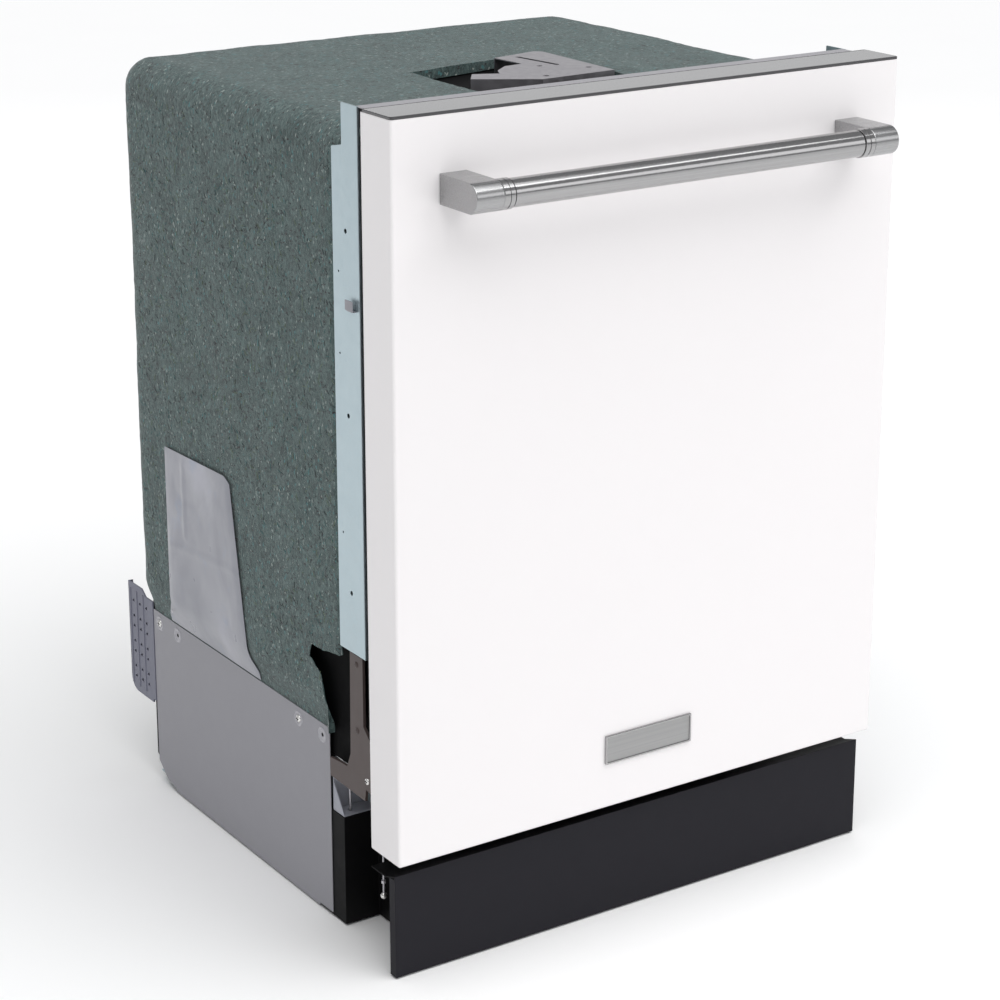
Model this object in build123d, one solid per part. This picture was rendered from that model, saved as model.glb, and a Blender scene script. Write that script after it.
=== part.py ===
from build123d import *
from math import cos, radians, sin
import os

# A 24-inch built-in dishwasher: +Z up, +Y towards the back, origin on the floor
# under the middle of its bounding box. Lengths in millimetres.
# Every "depth" below is measured backwards from the door's front face.

# Driving dimensions
HEIGHT = 864.0
DEPTH = 685.0
DOOR_HALF = 299.0
DOOR_THICK = 52.0
DOOR_BOTTOM = 128.0
HANDLE_REACH = 63.0
SHEET = 1.2
FACE = HANDLE_REACH - DEPTH / 2

# Tub and the felt around it
TUB_HALF = 276.0
TUB_TOP = 826.0
TUB_FLOOR = 182.0
TUB_FRONT = 66.0
TUB_BACK = 570.0
TUB_CORNER = 28.0
FELT_HALF = 290.0
FELT_TOP = 840.0
FELT_FRONT = 122.0
FELT_BACK = 586.0
FELT_BOTTOM = 230.0
FELT_GAP = 1.0
FELT_TOP_FRONT = 88.0
TOP_CUT = (-84.0, 95.0)
TOP_CUT_BACK = 350.0

# Front frame and fixing strips
FRAME_TOP = 862.0
STRIP_FRONT = 71.0
STRIP_BOTTOM = 319.0
STRIP_STEP = (818.0, 822.0)
STRIP_CLIP = (666.0, 678.0)
STRIP_HOLES = (381.0, 561.0, 741.0)
STRIP_HOLE_RADIUS = 1.7
STRIP_HOLE_DEPTH = 96.0

# Base
BASE_HALF = 279.8
BASE_FRONT = 138.0
BASE_BACK = 566.0
BASE_WALL = 3.0
BASE_FRONT_TOP = 122.0
BASE_SIDE_TOP = 209.0
NOSE_HALF = 240.0
FLOOR_GAP = 2.0
SIDE_PANEL_OUT = 281.0
SIDE_PANEL = (163.0, 560.0, 5.0, 212.0)
SCREW_HEIGHT = 199.0
SCREW_DEPTHS = (227.0, 545.0)
DIMPLE_DEPTHS = (178.0, 501.0)
VENT = (544.0, 622.0, 95.0, 227.0)
TOE_DEPTH = 15.0
TOE_HALF = 295.0
TOE_TOP = 112.0
TOE_LIP = 105.8
TOE_LIP_DEPTHS = (34.0, 60.0)
TOE_FOLD = (26.0, 108.0)

# Door hinge
PIVOT_DEPTH = 40.0
PIVOT_UP = 34.0
PIVOT_Z = DOOR_BOTTOM + PIVOT_UP
PIN_RADIUS = 4.0
RUNNING_GAP = 0.05
HINGE_PLATE = (285.0, 288.0)
SPRING_X = 266.0
SPRING_DEPTH = 149.5
SPRING_HOOK = 178.0
ROD_X = 270.0
ROD_DEPTH = 78.5
ROD_BOTTOM = 58.0

# Door
CAP_THICK = 3.0
PANEL_TOP = HEIGHT - CAP_THICK
LINER_HALF = 280.0
LINER_BACK = 58.0
LINER_BOTTOM = 152.0
LINER_TOP = 856.0
HANDLE_Z = 793.0
HANDLE_HALF = 248.0
POST_WIDTH = 30.0
POST_RADIUS = 14.5
TUBE_RADIUS = 13.5
COLLAR_LENGTH = 12.0
HANDLE_DEPTH = POST_RADIUS - HANDLE_REACH
PAWL_DEPTH = 40.0
PAWL_Z = 844.8
BADGE = (-55.5, 52.5, 177.0, 208.0)
DISPENSER = (-95.0, 95.0, 480.0, 610.0)
SOAP_CUP = (-85.0, -5.0, 500.0, 590.0)

# Racks and spray arms
WIRE = 4.0
RACK_FRONT = 100.0
RACK_BACK = 545.0
RACK_HALF = 250.0
LOWER_FLOOR = 212.0
LOWER_RIM = 330.0
UPPER_FLOOR = 510.0
UPPER_RIM = 600.0
THIRD_FLOOR = 738.0
THIRD_RIM = 772.0
LEDGE_TOP = 186.0
WHEEL_RADIUS = 16.0
WHEEL_GAP = 0.3
WHEEL_DEPTHS = (165.0, 480.0)
WHEEL_SPAN = (256.0, 264.0)
AXLE_RADIUS = 4.0
HUB_DEPTH = 310.0
HUB_RADIUS = 5.0
LOWER_ARM = (190.0, 202.0, 215.0)
UPPER_ARM = (488.0, 498.0, 200.0)
TOP_ARM = (793.0, 803.0, 120.0)
SLIDE_HEIGHT = 14.0
FLOAT_PLACE = (-215.0, 115.0)

# Feet
FOOT_RADIUS = 18.0
FOOT_STEM = 5.0
FOOT_PLACES = {"front": 175.0, "rear": 530.0}
FOOT_HALF = 252.0

os.makedirs("parts", exist_ok=True)


def save(name, *shapes):
    """Write one node; several shapes stay separate solids."""
    solids = [solid for shape in shapes for solid in shape.solids()]
    export_step(solids[0] if len(solids) == 1 else Compound(solids), f"parts/{name}.step")


def block(x, depth, z):
    """A box between three pairs of limits."""
    size = [high - low for low, high in (x, depth, z)]
    middle = Pos((x[0] + x[1]) / 2, FACE + (depth[0] + depth[1]) / 2, (z[0] + z[1]) / 2)
    return middle * Box(*size)


def bar_x(x, depth, z, radius):
    """A round bar along X between two limits."""
    middle = Pos((x[0] + x[1]) / 2, FACE + depth, z)
    return middle * Rot(0, 90, 0) * Cylinder(radius, x[1] - x[0])


def bar_y(x, depth, z, radius):
    """A round bar along Y between two depths."""
    middle = Pos(x, FACE + (depth[0] + depth[1]) / 2, z)
    return middle * Rot(90, 0, 0) * Cylinder(radius, depth[1] - depth[0])


def bar_z(x, depth, z, radius):
    """A round bar along Z between two heights."""
    return Pos(x, FACE + depth, (z[0] + z[1]) / 2) * Cylinder(radius, z[1] - z[0])


def side_sheet(x, outline):
    """A flat sheet across X, from an outline of (depth, height) points."""
    points = [(FACE + depth, z) for depth, z in outline]
    face = Plane.YZ.offset(x[0]) * Polygon(*points, align=None)
    return extrude(face, amount=x[1] - x[0], dir=(1, 0, 0))


def top_sheet(z, outline):
    """A flat sheet across Z, from an outline of (x, depth) points."""
    points = [(x, FACE + depth) for x, depth in outline]
    face = Plane.XY.offset(z[0]) * Polygon(*points, align=None)
    return extrude(face, amount=z[1] - z[0], dir=(0, 0, 1))


def mirrored(shape):
    """The same piece on the machine's other side."""
    return mirror(shape, about=Plane.YZ)


def both_sides(shape):
    """A piece and its mirror image, as two solids."""
    return [shape, mirrored(shape)]


def arch(half, depth, z, radius):
    """A block whose two upper edges along Y are rounded."""
    body = block((-half, half), depth, z)
    upper = body.edges().filter_by(Axis.Y).group_by(Axis.Z)[-1]
    return fillet(upper, radius)


# Tub: a folded wrap of left wall, ceiling and right wall, with a back and a floor

def build_tub():
    inner_half = TUB_HALF - SHEET
    wrap_depth = (TUB_FRONT, TUB_BACK - SHEET)
    wrap = arch(TUB_HALF, wrap_depth, (TUB_FLOOR, TUB_TOP), TUB_CORNER)
    hollow_z = (TUB_FLOOR - SHEET, TUB_TOP - SHEET)
    hollow = arch(inner_half, (TUB_FRONT - 1, TUB_BACK), hollow_z, TUB_CORNER - SHEET)
    save("tub_wrap", wrap - hollow)

    back_depth = (TUB_BACK - SHEET, TUB_BACK)
    save("tub_back", arch(TUB_HALF, back_depth, (TUB_FLOOR, TUB_TOP), TUB_CORNER))

    floor_z = (TUB_FLOOR - SHEET, TUB_FLOOR)
    floor = block((-TUB_HALF, TUB_HALF), (TUB_FRONT + 2, TUB_BACK), floor_z)
    rail_z = (TUB_FLOOR - 20, TUB_FLOOR - SHEET)
    floor += block((-TUB_HALF, TUB_HALF), (80, 80 + SHEET), rail_z)
    floor -= bar_z(0, HUB_DEPTH, (TUB_FLOOR - 5, TUB_FLOOR + 5), 70)
    ledge = block((256, inner_half - 0.2), (92, 560), (TUB_FLOOR, LEDGE_TOP))
    floor += ledge + mirrored(ledge)
    guide = bar_z(*FLOAT_PLACE, (TUB_FLOOR, 192), 14) - bar_z(*FLOAT_PLACE, (TUB_FLOOR, 193), 11.5)
    floor += guide
    save("tub_floor", floor)


def build_frame():
    """A dark collar behind the door, the galvanised head rail and two fixing strips."""
    flange_depth = (TUB_FRONT, TUB_FRONT + 1.5)
    side_z = (236, TUB_TOP + FELT_GAP)
    head_z = (TUB_TOP + FELT_GAP, FRAME_TOP - SHEET)
    stile_x = (TUB_HALF + 0.2, FELT_HALF - 1)
    stile = block(stile_x, flange_depth, side_z)
    stile += block((FELT_HALF - 2.5, FELT_HALF - 1), (TUB_FRONT, STRIP_FRONT), side_z)
    collar = stile + mirrored(stile)
    collar += block((1 - FELT_HALF, FELT_HALF - 1), flange_depth, head_z)
    save("tub_collar", collar)

    head = block((-FELT_HALF, FELT_HALF), (60, 75), (FRAME_TOP - SHEET, FRAME_TOP))
    drop_z = (FELT_TOP + FELT_GAP, FRAME_TOP - SHEET)
    head += block((-FELT_HALF, FELT_HALF), (75 - SHEET, 75), drop_z)
    foot_z = (FELT_TOP + FELT_GAP, FELT_TOP + FELT_GAP + SHEET)
    head += block((-FELT_HALF, FELT_HALF), (75 - SHEET, 86), foot_z)
    save("head_rail", head)

    front, wide, narrow = STRIP_FRONT, STRIP_FRONT + 49, STRIP_FRONT + 30
    outline = [
        (front, STRIP_BOTTOM), (wide, STRIP_BOTTOM), (wide, STRIP_STEP[0]), (narrow, STRIP_STEP[1]),
        (narrow, FRAME_TOP), (front, FRAME_TOP),
    ]
    strip = side_sheet((FELT_HALF, FELT_HALF + SHEET), outline)
    for z in STRIP_HOLES:
        reach = (FELT_HALF - 1, FELT_HALF + 3)
        strip -= bar_x(reach, STRIP_HOLE_DEPTH, z, STRIP_HOLE_RADIUS)
    clip_x = (FELT_HALF + SHEET, FELT_HALF + 6)
    clip_depth = (front + 6, front + 22)
    strip += block(clip_x, clip_depth, (STRIP_CLIP[0], STRIP_CLIP[0] + SHEET))
    strip += block((clip_x[1] - SHEET, clip_x[1]), clip_depth, STRIP_CLIP)
    save("side_strips", *both_sides(strip))


def build_gasket():
    inner, outer = 268.0, TUB_HALF
    seal_depth = (LINER_BACK + 0.5, TUB_FRONT)
    lower, upper = TUB_FLOOR + 4, TUB_TOP
    seal = arch(outer, seal_depth, (lower, upper), TUB_CORNER)
    hollow_z = (lower - 1, upper - (outer - inner))
    seal -= arch(inner, (50, 80), hollow_z, TUB_CORNER - 8)
    save("door_gasket", seal)


def build_felt():
    """The felt blanket's two sides, back and top, with its cut-out over the bracket."""
    inner = TUB_HALF + FELT_GAP
    side_z = (FELT_BOTTOM, FELT_TOP)
    side = block((-FELT_HALF, -inner), (FELT_FRONT, FELT_BACK), side_z)
    back_depth = (TUB_BACK + FELT_GAP, FELT_BACK)
    back = block((-inner, inner), back_depth, side_z)
    top_z = (TUB_TOP + FELT_GAP, FELT_TOP)
    top_depth = (FELT_TOP_FRONT, TUB_BACK + FELT_GAP)
    pads = [
        block((-inner, TOP_CUT[0]), top_depth, top_z),
        block((TOP_CUT[1], inner), top_depth, top_z),
        block(TOP_CUT, (TOP_CUT_BACK, top_depth[1]), top_z),
    ]
    save("insulation_blanket", side, mirrored(side), back, *pads)


def build_top_bracket():
    """A notched fixing plate over the tub, on folded legs."""
    plate_z = (841.0, 841.0 + SHEET)
    outline = [
        (-4, 190), (89, 196), (92, 331), (85, 338), (26, 325), (30, 279),
        (7, 276), (-14, 258), (-22, 242), (-48, 254), (-65, 230),
    ]
    plate = top_sheet(plate_z, outline)
    drill = (plate_z[0] - 1, plate_z[1] + 1)
    for x, depth, radius in ((38, 258, 3.2), (76, 224, 3.2), (10, 205, 3.2)):
        plate -= bar_z(x, depth, drill, radius)
    slot = bar_z(50, 317, drill, 2.5) + bar_z(58, 255, drill, 2.5)
    slot += top_sheet(drill, [(47.5, 316.7), (52.5, 317.3), (60.5, 255.3), (55.5, 254.7)])
    plate -= slot
    leg_z = (TUB_TOP, plate_z[0])
    plate += top_sheet(leg_z, [(-4, 190), (89, 196), (89, 196 + SHEET), (-4, 190 + SHEET)])
    plate += top_sheet(leg_z, [(-4, 190), (-4, 191.4), (-64, 231), (-65, 230)])
    plate += top_sheet(leg_z, [(85, 338), (26, 325), (26, 323.8), (85, 336.8)])
    save("top_bracket", plate)


def build_breather():
    """A thin drying-vent cover clipped over the felt on the left side."""
    outline = [
        (306, 214), (306, 224), (315, 236), (346, 422), (358, 428),
        (495, 424), (495, 243), (512, 223), (512, 214),
    ]
    cover = side_sheet((-FELT_HALF - 1.4, -FELT_HALF - 0.2), outline)
    save("breather_cover", cover)


# Base: a plastic frame with walls, a drip pan, steel side panels and a toe kick

def build_base():
    wall_x = (BASE_HALF - BASE_WALL, BASE_HALF)
    wall = block(wall_x, (BASE_FRONT, SIDE_PANEL[0] + 2), (FLOOR_GAP, BASE_FRONT_TOP))
    wall += block(wall_x, (SIDE_PANEL[0] + 2, BASE_BACK), (FLOOR_GAP, BASE_SIDE_TOP))
    wall += block((NOSE_HALF - BASE_WALL, NOSE_HALF), (18, BASE_FRONT), (FLOOR_GAP, 104))
    ledge_z = (TUB_FLOOR - 4, TUB_FLOOR - SHEET)
    wall += block((262, BASE_HALF - BASE_WALL), (SIDE_PANEL[0] + 2, BASE_BACK), ledge_z)
    for depth in FOOT_PLACES.values():
        boss = block((FOOT_HALF - 14, wall_x[0]), (depth - 14, depth + 14), (44, 58))
        wall += boss - bar_z(FOOT_HALF, depth, (40, 62), FOOT_STEM + RUNNING_GAP)
    for depth in SCREW_DEPTHS:
        wall -= bar_x((wall_x[0] - 1, wall_x[1] + 1), depth, SCREW_HEIGHT, 2.1)
    frame = wall + mirrored(wall)
    front_depth = (BASE_FRONT, BASE_FRONT + BASE_WALL)
    front = block((-BASE_HALF, BASE_HALF), front_depth, (FLOOR_GAP, BASE_FRONT_TOP))
    front -= block((-200, 200), (BASE_FRONT - 1, BASE_FRONT + 9), (20, 100))
    back_depth = (BASE_BACK - BASE_WALL, BASE_BACK)
    back = block((-BASE_HALF, BASE_HALF), back_depth, (FLOOR_GAP, 150))
    back -= bar_y(-180, (BASE_BACK - 9, BASE_BACK + 9), 60, 12)
    frame += front + back
    # The lower back corner is cut away to match the side panels' chamfer
    chamfer = [(514, 0), (538, 12), (568, 34), (568, 0)]
    frame -= side_sheet((-BASE_HALF - 1, BASE_HALF + 1), chamfer)
    save("base_frame", frame)

    pan_depth = (BASE_FRONT + BASE_WALL, BASE_BACK - BASE_WALL)
    pan_half = BASE_HALF - BASE_WALL
    pan = block((-pan_half, pan_half), pan_depth, (10, 12))
    for depth in FOOT_PLACES.values():
        for x in (-FOOT_HALF, FOOT_HALF):
            pan -= bar_z(x, depth, (5, 20), FOOT_STEM + 1)
    save("drip_pan", pan)


def build_side_panels():
    front, back, bottom, top = SIDE_PANEL
    outline = [(front, bottom), (front, top), (back, top), (back, 26), (540, 10), (520, bottom)]
    sheet_x = (SIDE_PANEL_OUT - 1, SIDE_PANEL_OUT)
    panel = side_sheet(sheet_x, outline)
    for depth in (*SCREW_DEPTHS, *DIMPLE_DEPTHS):
        reach = (SIDE_PANEL_OUT - 2, SIDE_PANEL_OUT + 1)
        panel -= bar_x(reach, depth, SCREW_HEIGHT, 2.2)
    lip_x = (SIDE_PANEL_OUT - 1, SIDE_PANEL_OUT - 0.2)
    panel += block(lip_x, (190, 518), (FLOOR_GAP, bottom))
    save("side_panels", *both_sides(panel))

    screws = []
    for depth in SCREW_DEPTHS:
        screw = bar_x((SIDE_PANEL_OUT, SIDE_PANEL_OUT + 2.5), depth, SCREW_HEIGHT, 4.5)
        screw += bar_x((BASE_HALF - BASE_WALL, SIDE_PANEL_OUT), depth, SCREW_HEIGHT, 2)
        screws += both_sides(screw)
    save("panel_screws", *screws)


def build_vents():
    """Slotted plastic spacers at the lower back corners."""
    front, back, bottom, top = VENT
    corner = 16.0
    plate_x = (BASE_HALF + 0.1, BASE_HALF + 2.1)
    arc_middle = (back - corner, bottom + corner)
    rounded = []
    for step in range(7):
        turn = radians(-90 + 15 * step)
        rounded.append((arc_middle[0] + corner * cos(turn), arc_middle[1] + corner * sin(turn)))
    outline = [(BASE_BACK + 1, bottom), *rounded, (back, top), (BASE_BACK + 1, top)]
    vent = side_sheet(plate_x, outline)
    vent += block(plate_x, (SIDE_PANEL[1] + 0.5, BASE_BACK + 1), (bottom + 4, top))
    for column in range(3):
        for row in range(5):
            depth = 577.0 + 14.0 * column
            z = bottom + 22 + 24 * row
            vent -= block((plate_x[0] - 1, plate_x[1] + 1), (depth, depth + 8), (z, z + 5))
    save("vent_spacers", *both_sides(vent))


def build_toe_kick():
    """A kick plate whose top slopes back, low enough for the door's bottom edge to swing over."""
    kick_z = (FLOOR_GAP, TOE_TOP)
    kick = block((-TOE_HALF, TOE_HALF), (TOE_DEPTH, TOE_DEPTH + SHEET), kick_z)
    bend, end = TOE_LIP_DEPTHS
    lip = [
        (TOE_DEPTH, TOE_TOP), (TOE_DEPTH + SHEET, TOE_TOP), (bend, TOE_LIP), (end, TOE_LIP),
        (end, TOE_LIP - SHEET), (bend - 0.5, TOE_LIP - SHEET), (TOE_DEPTH, TOE_TOP - SHEET),
    ]
    kick += side_sheet((-TOE_HALF, TOE_HALF), lip)
    fold_z = (FLOOR_GAP, TOE_FOLD[1])
    fold = block((TOE_HALF - SHEET, TOE_HALF), (TOE_DEPTH + SHEET, TOE_FOLD[0]), fold_z)
    hook = block((NOSE_HALF, NOSE_HALF + SHEET), (TOE_DEPTH + SHEET, 60), (24, 84))
    save("toe_kick", kick + fold + mirrored(fold) + hook + mirrored(hook))


def build_corner_brackets():
    """Formed sheet brackets on the base's front corners, where the springs hook on."""
    x = (NOSE_HALF, BASE_HALF - 0.8)
    floor = block(x, (BASE_FRONT + 1, 161.2), (BASE_FRONT_TOP, BASE_FRONT_TOP + SHEET))
    floor -= bar_z(SPRING_X, SPRING_DEPTH, (BASE_FRONT_TOP - 2, BASE_FRONT_TOP + 5), 3)
    low = BASE_FRONT_TOP + SHEET
    upright = block(x, (160, 160 + SHEET), (low, 168))
    gusset = side_sheet((x[1] - SHEET, x[1]), [(140, low), (160, low), (160, 153)])
    save("corner_brackets", *both_sides(floor + upright + gusset))


# Door hinge, springs and the parts that balance the door

def build_hinges():
    plate_x = HINGE_PLATE
    outline = [
        (38, 152), (48, 153), (56, 163), (66, 176), (80, 178), (82, 165), (150, 167), (150, 187),
        (116, 190), (109, 206), (107, 316), (83, 316), (83, 244), (64, 226), (34, 172),
    ]
    bracket = side_sheet(plate_x, outline)
    bracket += bar_x(plate_x, PIVOT_DEPTH, PIVOT_Z, 10)
    bracket -= bar_x((280, 290), PIVOT_DEPTH, PIVOT_Z, PIN_RADIUS + RUNNING_GAP)
    for z in (236, 306):
        bracket -= bar_x((280, 290), 95, z, 2.6)
    fold = block((TUB_HALF + 0.3, plate_x[0]), (104, 107), (242, 314))
    save("hinge_brackets", *both_sides(bracket + fold))

    pin = bar_x((284.4, 296.5), PIVOT_DEPTH, PIVOT_Z, PIN_RADIUS)
    pin += bar_x((282.5, 284.4), PIVOT_DEPTH, PIVOT_Z, 7)
    save("hinge_pins", *both_sides(pin))

    arm_x = (292.0, 294.5)
    arm = block(arm_x, (SHEET, 50), (148, 330))
    arm -= bar_x((290, 297), PIVOT_DEPTH, PIVOT_Z, PIN_RADIUS + RUNNING_GAP)
    save("hinge_arms", *both_sides(arm))

    spring = bar_z(SPRING_X, SPRING_DEPTH, (26, 112), 7) - bar_z(SPRING_X, SPRING_DEPTH, (28, 110), 5)
    spring += bar_z(SPRING_X, SPRING_DEPTH, (110, SPRING_HOOK), 1.5)
    spring += bar_x((SPRING_X, 283), SPRING_DEPTH, SPRING_HOOK, 1.5)
    ball = Pos(ROD_X, FACE + ROD_DEPTH, ROD_BOTTOM) * Sphere(3.5)
    rod = bar_z(ROD_X, ROD_DEPTH, (ROD_BOTTOM, 176), 1.0) + ball
    save("door_springs", *both_sides(spring), *both_sides(rod))


# Water system under and inside the tub

def build_water_system():
    cup = bar_z(0, HUB_DEPTH, (92, TUB_FLOOR - SHEET), 68)
    cup += bar_z(0, HUB_DEPTH, (TUB_FLOOR - 5, TUB_FLOOR - SHEET), 84)
    cup += bar_x((-90, 90), HUB_DEPTH, 118, 16)
    cup -= bar_z(0, HUB_DEPTH, (96, TUB_FLOOR), 64)
    cup -= bar_x((-91, 91), HUB_DEPTH, 118, 13)
    save("sump", cup)

    screen = bar_z(0, HUB_DEPTH, (TUB_FLOOR - 3, TUB_FLOOR), 63.5)
    screen += bar_z(30, HUB_DEPTH, (100, TUB_FLOOR - 3), 26)
    screen -= bar_z(30, HUB_DEPTH, (98, TUB_FLOOR + 1), 23)
    post = bar_z(0, HUB_DEPTH, (TUB_FLOOR, LOWER_ARM[0] - 0.3), 6.9)
    post += bar_z(0, HUB_DEPTH, (LOWER_ARM[0] - 0.4, LOWER_ARM[1] + 2), HUB_RADIUS)
    save("filter", screen + post)

    volute = bar_x((90, 124), HUB_DEPTH, 118, 48)
    motor = bar_x((124, 214), HUB_DEPTH, 118, 40)
    save("wash_pump", volute + motor)
    volute = bar_x((-118, -90), HUB_DEPTH, 118, 30)
    motor = bar_x((-170, -118), HUB_DEPTH, 118, 24)
    save("drain_pump", volute + motor)
    save("heater", bar_x((-70, 70), 430, 110, 32) + bar_x((-90, 90), 430, 110, 12))

    body = block((-238, -200), (500, 545), (70, 110))
    save("inlet_valve", body + bar_y(-219, (485, 500), 90, 9))
    spigot = bar_y(-180, (BASE_BACK - 40, BASE_BACK + 38), 60, 10)
    spigot += bar_y(-180, (BASE_BACK - 60, BASE_BACK - 4), 60, 18)
    save("drain_outlet", spigot - bar_y(-180, (BASE_BACK - 45, BASE_BACK + 40), 60, 7.5))

    pipe = block((-14, 14), (548, 562), (TUB_FLOOR, 820))
    pipe += block((-14, 14), (HUB_DEPTH + 15, 548), (809, 820))
    pipe += bar_z(0, HUB_DEPTH, (TOP_ARM[1] + 0.3, 820), 20)
    pipe += bar_z(0, HUB_DEPTH, (TOP_ARM[0] - 2, TOP_ARM[1] + 1), HUB_RADIUS)
    save("feed_pipe", pipe)

    save("float", bar_z(*FLOAT_PLACE, (TUB_FLOOR + 0.3, 198), 11))


def spray_arm(low, high, reach, tip):
    """A flat two-ended arm with a hub bore and rows of nozzle holes."""
    length = reach - tip
    arm = block((-length, length), (HUB_DEPTH - tip, HUB_DEPTH + tip), (low, high))
    for side in (-1, 1):
        arm += bar_z(side * length, HUB_DEPTH, (low, high), tip)
    arm += bar_z(0, HUB_DEPTH, (low, high), tip + 8)
    arm -= bar_z(0, HUB_DEPTH, (low - 1, high + 1), HUB_RADIUS + RUNNING_GAP)
    count = 4
    for step in range(count):
        offset = (step + 1) * length / (count + 0.5)
        for side in (-1, 1):
            place = (side * offset, HUB_DEPTH + side * tip * 0.4)
            arm -= bar_z(*place, (high - 2, high + 1), 2)
    return arm


def build_spray_arms():
    save("lower_spray_arm", spray_arm(*LOWER_ARM, 20))
    save("upper_spray_arm", spray_arm(*UPPER_ARM, 17))
    save("top_spray_arm", spray_arm(*TOP_ARM, 14))


# Racks

def wire_basket(floor_z, rim_z, rows, columns, tine_height, tine_rows):
    """A basket of straight wires: floor grid, uprights, rims and rows of tines."""
    half, low = WIRE / 2, floor_z - WIRE / 2
    x = (-RACK_HALF, RACK_HALF)
    depth = (RACK_FRONT, RACK_BACK)
    wires = []
    row_depths = [depth[0] + half + i * (depth[1] - depth[0] - WIRE) / (rows - 1) for i in range(rows)]
    column_x = [x[0] + half + i * (x[1] - x[0] - WIRE) / (columns - 1) for i in range(columns)]
    for d in row_depths:
        wires.append(block(x, (d - half, d + half), (low, low + WIRE)))
        for side in (x[0] + half, x[1] - half):
            wires.append(block((side - half, side + half), (d - half, d + half), (low, rim_z)))
    for c in column_x:
        wires.append(block((c - half, c + half), depth, (low, low + WIRE)))
        for end in (depth[0] + half, depth[1] - half):
            wires.append(block((c - half, c + half), (end - half, end + half), (low, rim_z)))
    for z in (rim_z - WIRE, (floor_z + rim_z) / 2):
        level = (z, z + WIRE)
        for side in (x[0], x[1] - WIRE):
            wires.append(block((side, side + WIRE), depth, level))
        for end in (depth[0], depth[1] - WIRE):
            wires.append(block(x, (end, end + WIRE), level))
    for row in tine_rows:
        for c in column_x[1:-1]:
            wires.append(block((c - half, c + half), (row - half, row + half), (low, low + tine_height)))
        wires.append(block(x, (row - half, row + half), (low, low + WIRE)))
    return wires[0].fuse(*wires[1:])


def build_lower_rack():
    rack = wire_basket(LOWER_FLOOR, LOWER_RIM, 8, 10, 60, (300, 400))
    wheel_z = LEDGE_TOP + WHEEL_GAP + WHEEL_RADIUS
    for depth in WHEEL_DEPTHS:
        hanger_x = (RACK_HALF - WIRE, RACK_HALF + 2)
        hanger = block(hanger_x, (depth - 10, depth + 10), (wheel_z - 8, LOWER_FLOOR + 20))
        hanger += bar_x((RACK_HALF + 2, WHEEL_SPAN[1] + 0.5), depth, wheel_z, AXLE_RADIUS)
        hanger += bar_x((WHEEL_SPAN[1] + 0.5, WHEEL_SPAN[1] + 2), depth, wheel_z, 6)
        rack += hanger + mirrored(hanger)
    save("lower_rack", rack)

    for name, depth in zip(("front", "rear"), WHEEL_DEPTHS):
        wheel = bar_x(WHEEL_SPAN, depth, wheel_z, WHEEL_RADIUS)
        wheel -= bar_x((250, 272), depth, wheel_z, AXLE_RADIUS + RUNNING_GAP)
        save(f"rack_wheels_{name}", *both_sides(wheel))

    low = LOWER_FLOOR + WIRE / 2 + 0.3
    basket = block((-165, 165), (108, 172), (low, LOWER_RIM + 4))
    for side in (-1, 1):
        cell_x = sorted((side * 2, side * 163))
        basket -= block(cell_x, (110, 170), (low + 2, LOWER_RIM + 9))
    save("cutlery_basket", basket)


def slide_pair(centre_z):
    """The two moving members of a rack's side slides, with tabs to the rack."""
    bar = block((254, 266), (92, 545), (centre_z - SLIDE_HEIGHT / 2, centre_z + SLIDE_HEIGHT / 2))
    bar += block((RACK_HALF, 254), (200, 230), (centre_z - 6, centre_z + 6))
    bar += block((RACK_HALF, 254), (430, 460), (centre_z - 6, centre_z + 6))
    return both_sides(bar)


def build_upper_racks():
    upper_slide_z = 575.0
    third_slide_z = 755.0
    save("upper_rack", wire_basket(UPPER_FLOOR, UPPER_RIM, 7, 9, 36, (250, 400)))
    save("upper_slides", *slide_pair(upper_slide_z))
    save("third_rack", wire_basket(THIRD_FLOOR, THIRD_RIM, 6, 8, 4, ()))
    save("third_slides", *slide_pair(third_slide_z))
    hub = bar_z(0, HUB_DEPTH, (UPPER_ARM[1] + 0.3, UPPER_FLOOR - WIRE / 2), 20)
    hub += bar_z(0, HUB_DEPTH, (UPPER_ARM[0] - 2, UPPER_ARM[1] + 1), HUB_RADIUS)
    feed_z = (UPPER_ARM[1] + 1, UPPER_FLOOR - WIRE / 2)
    save("upper_feed_tube", hub + block((-12, 12), (HUB_DEPTH, 545), feed_z))

    rails = []
    wall = TUB_HALF - SHEET
    for z in (upper_slide_z, third_slide_z):
        rails += both_sides(block((268, wall), (90, 560), (z - 10, z + 10)))
    save("rack_rails", *rails)


# Door

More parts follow.
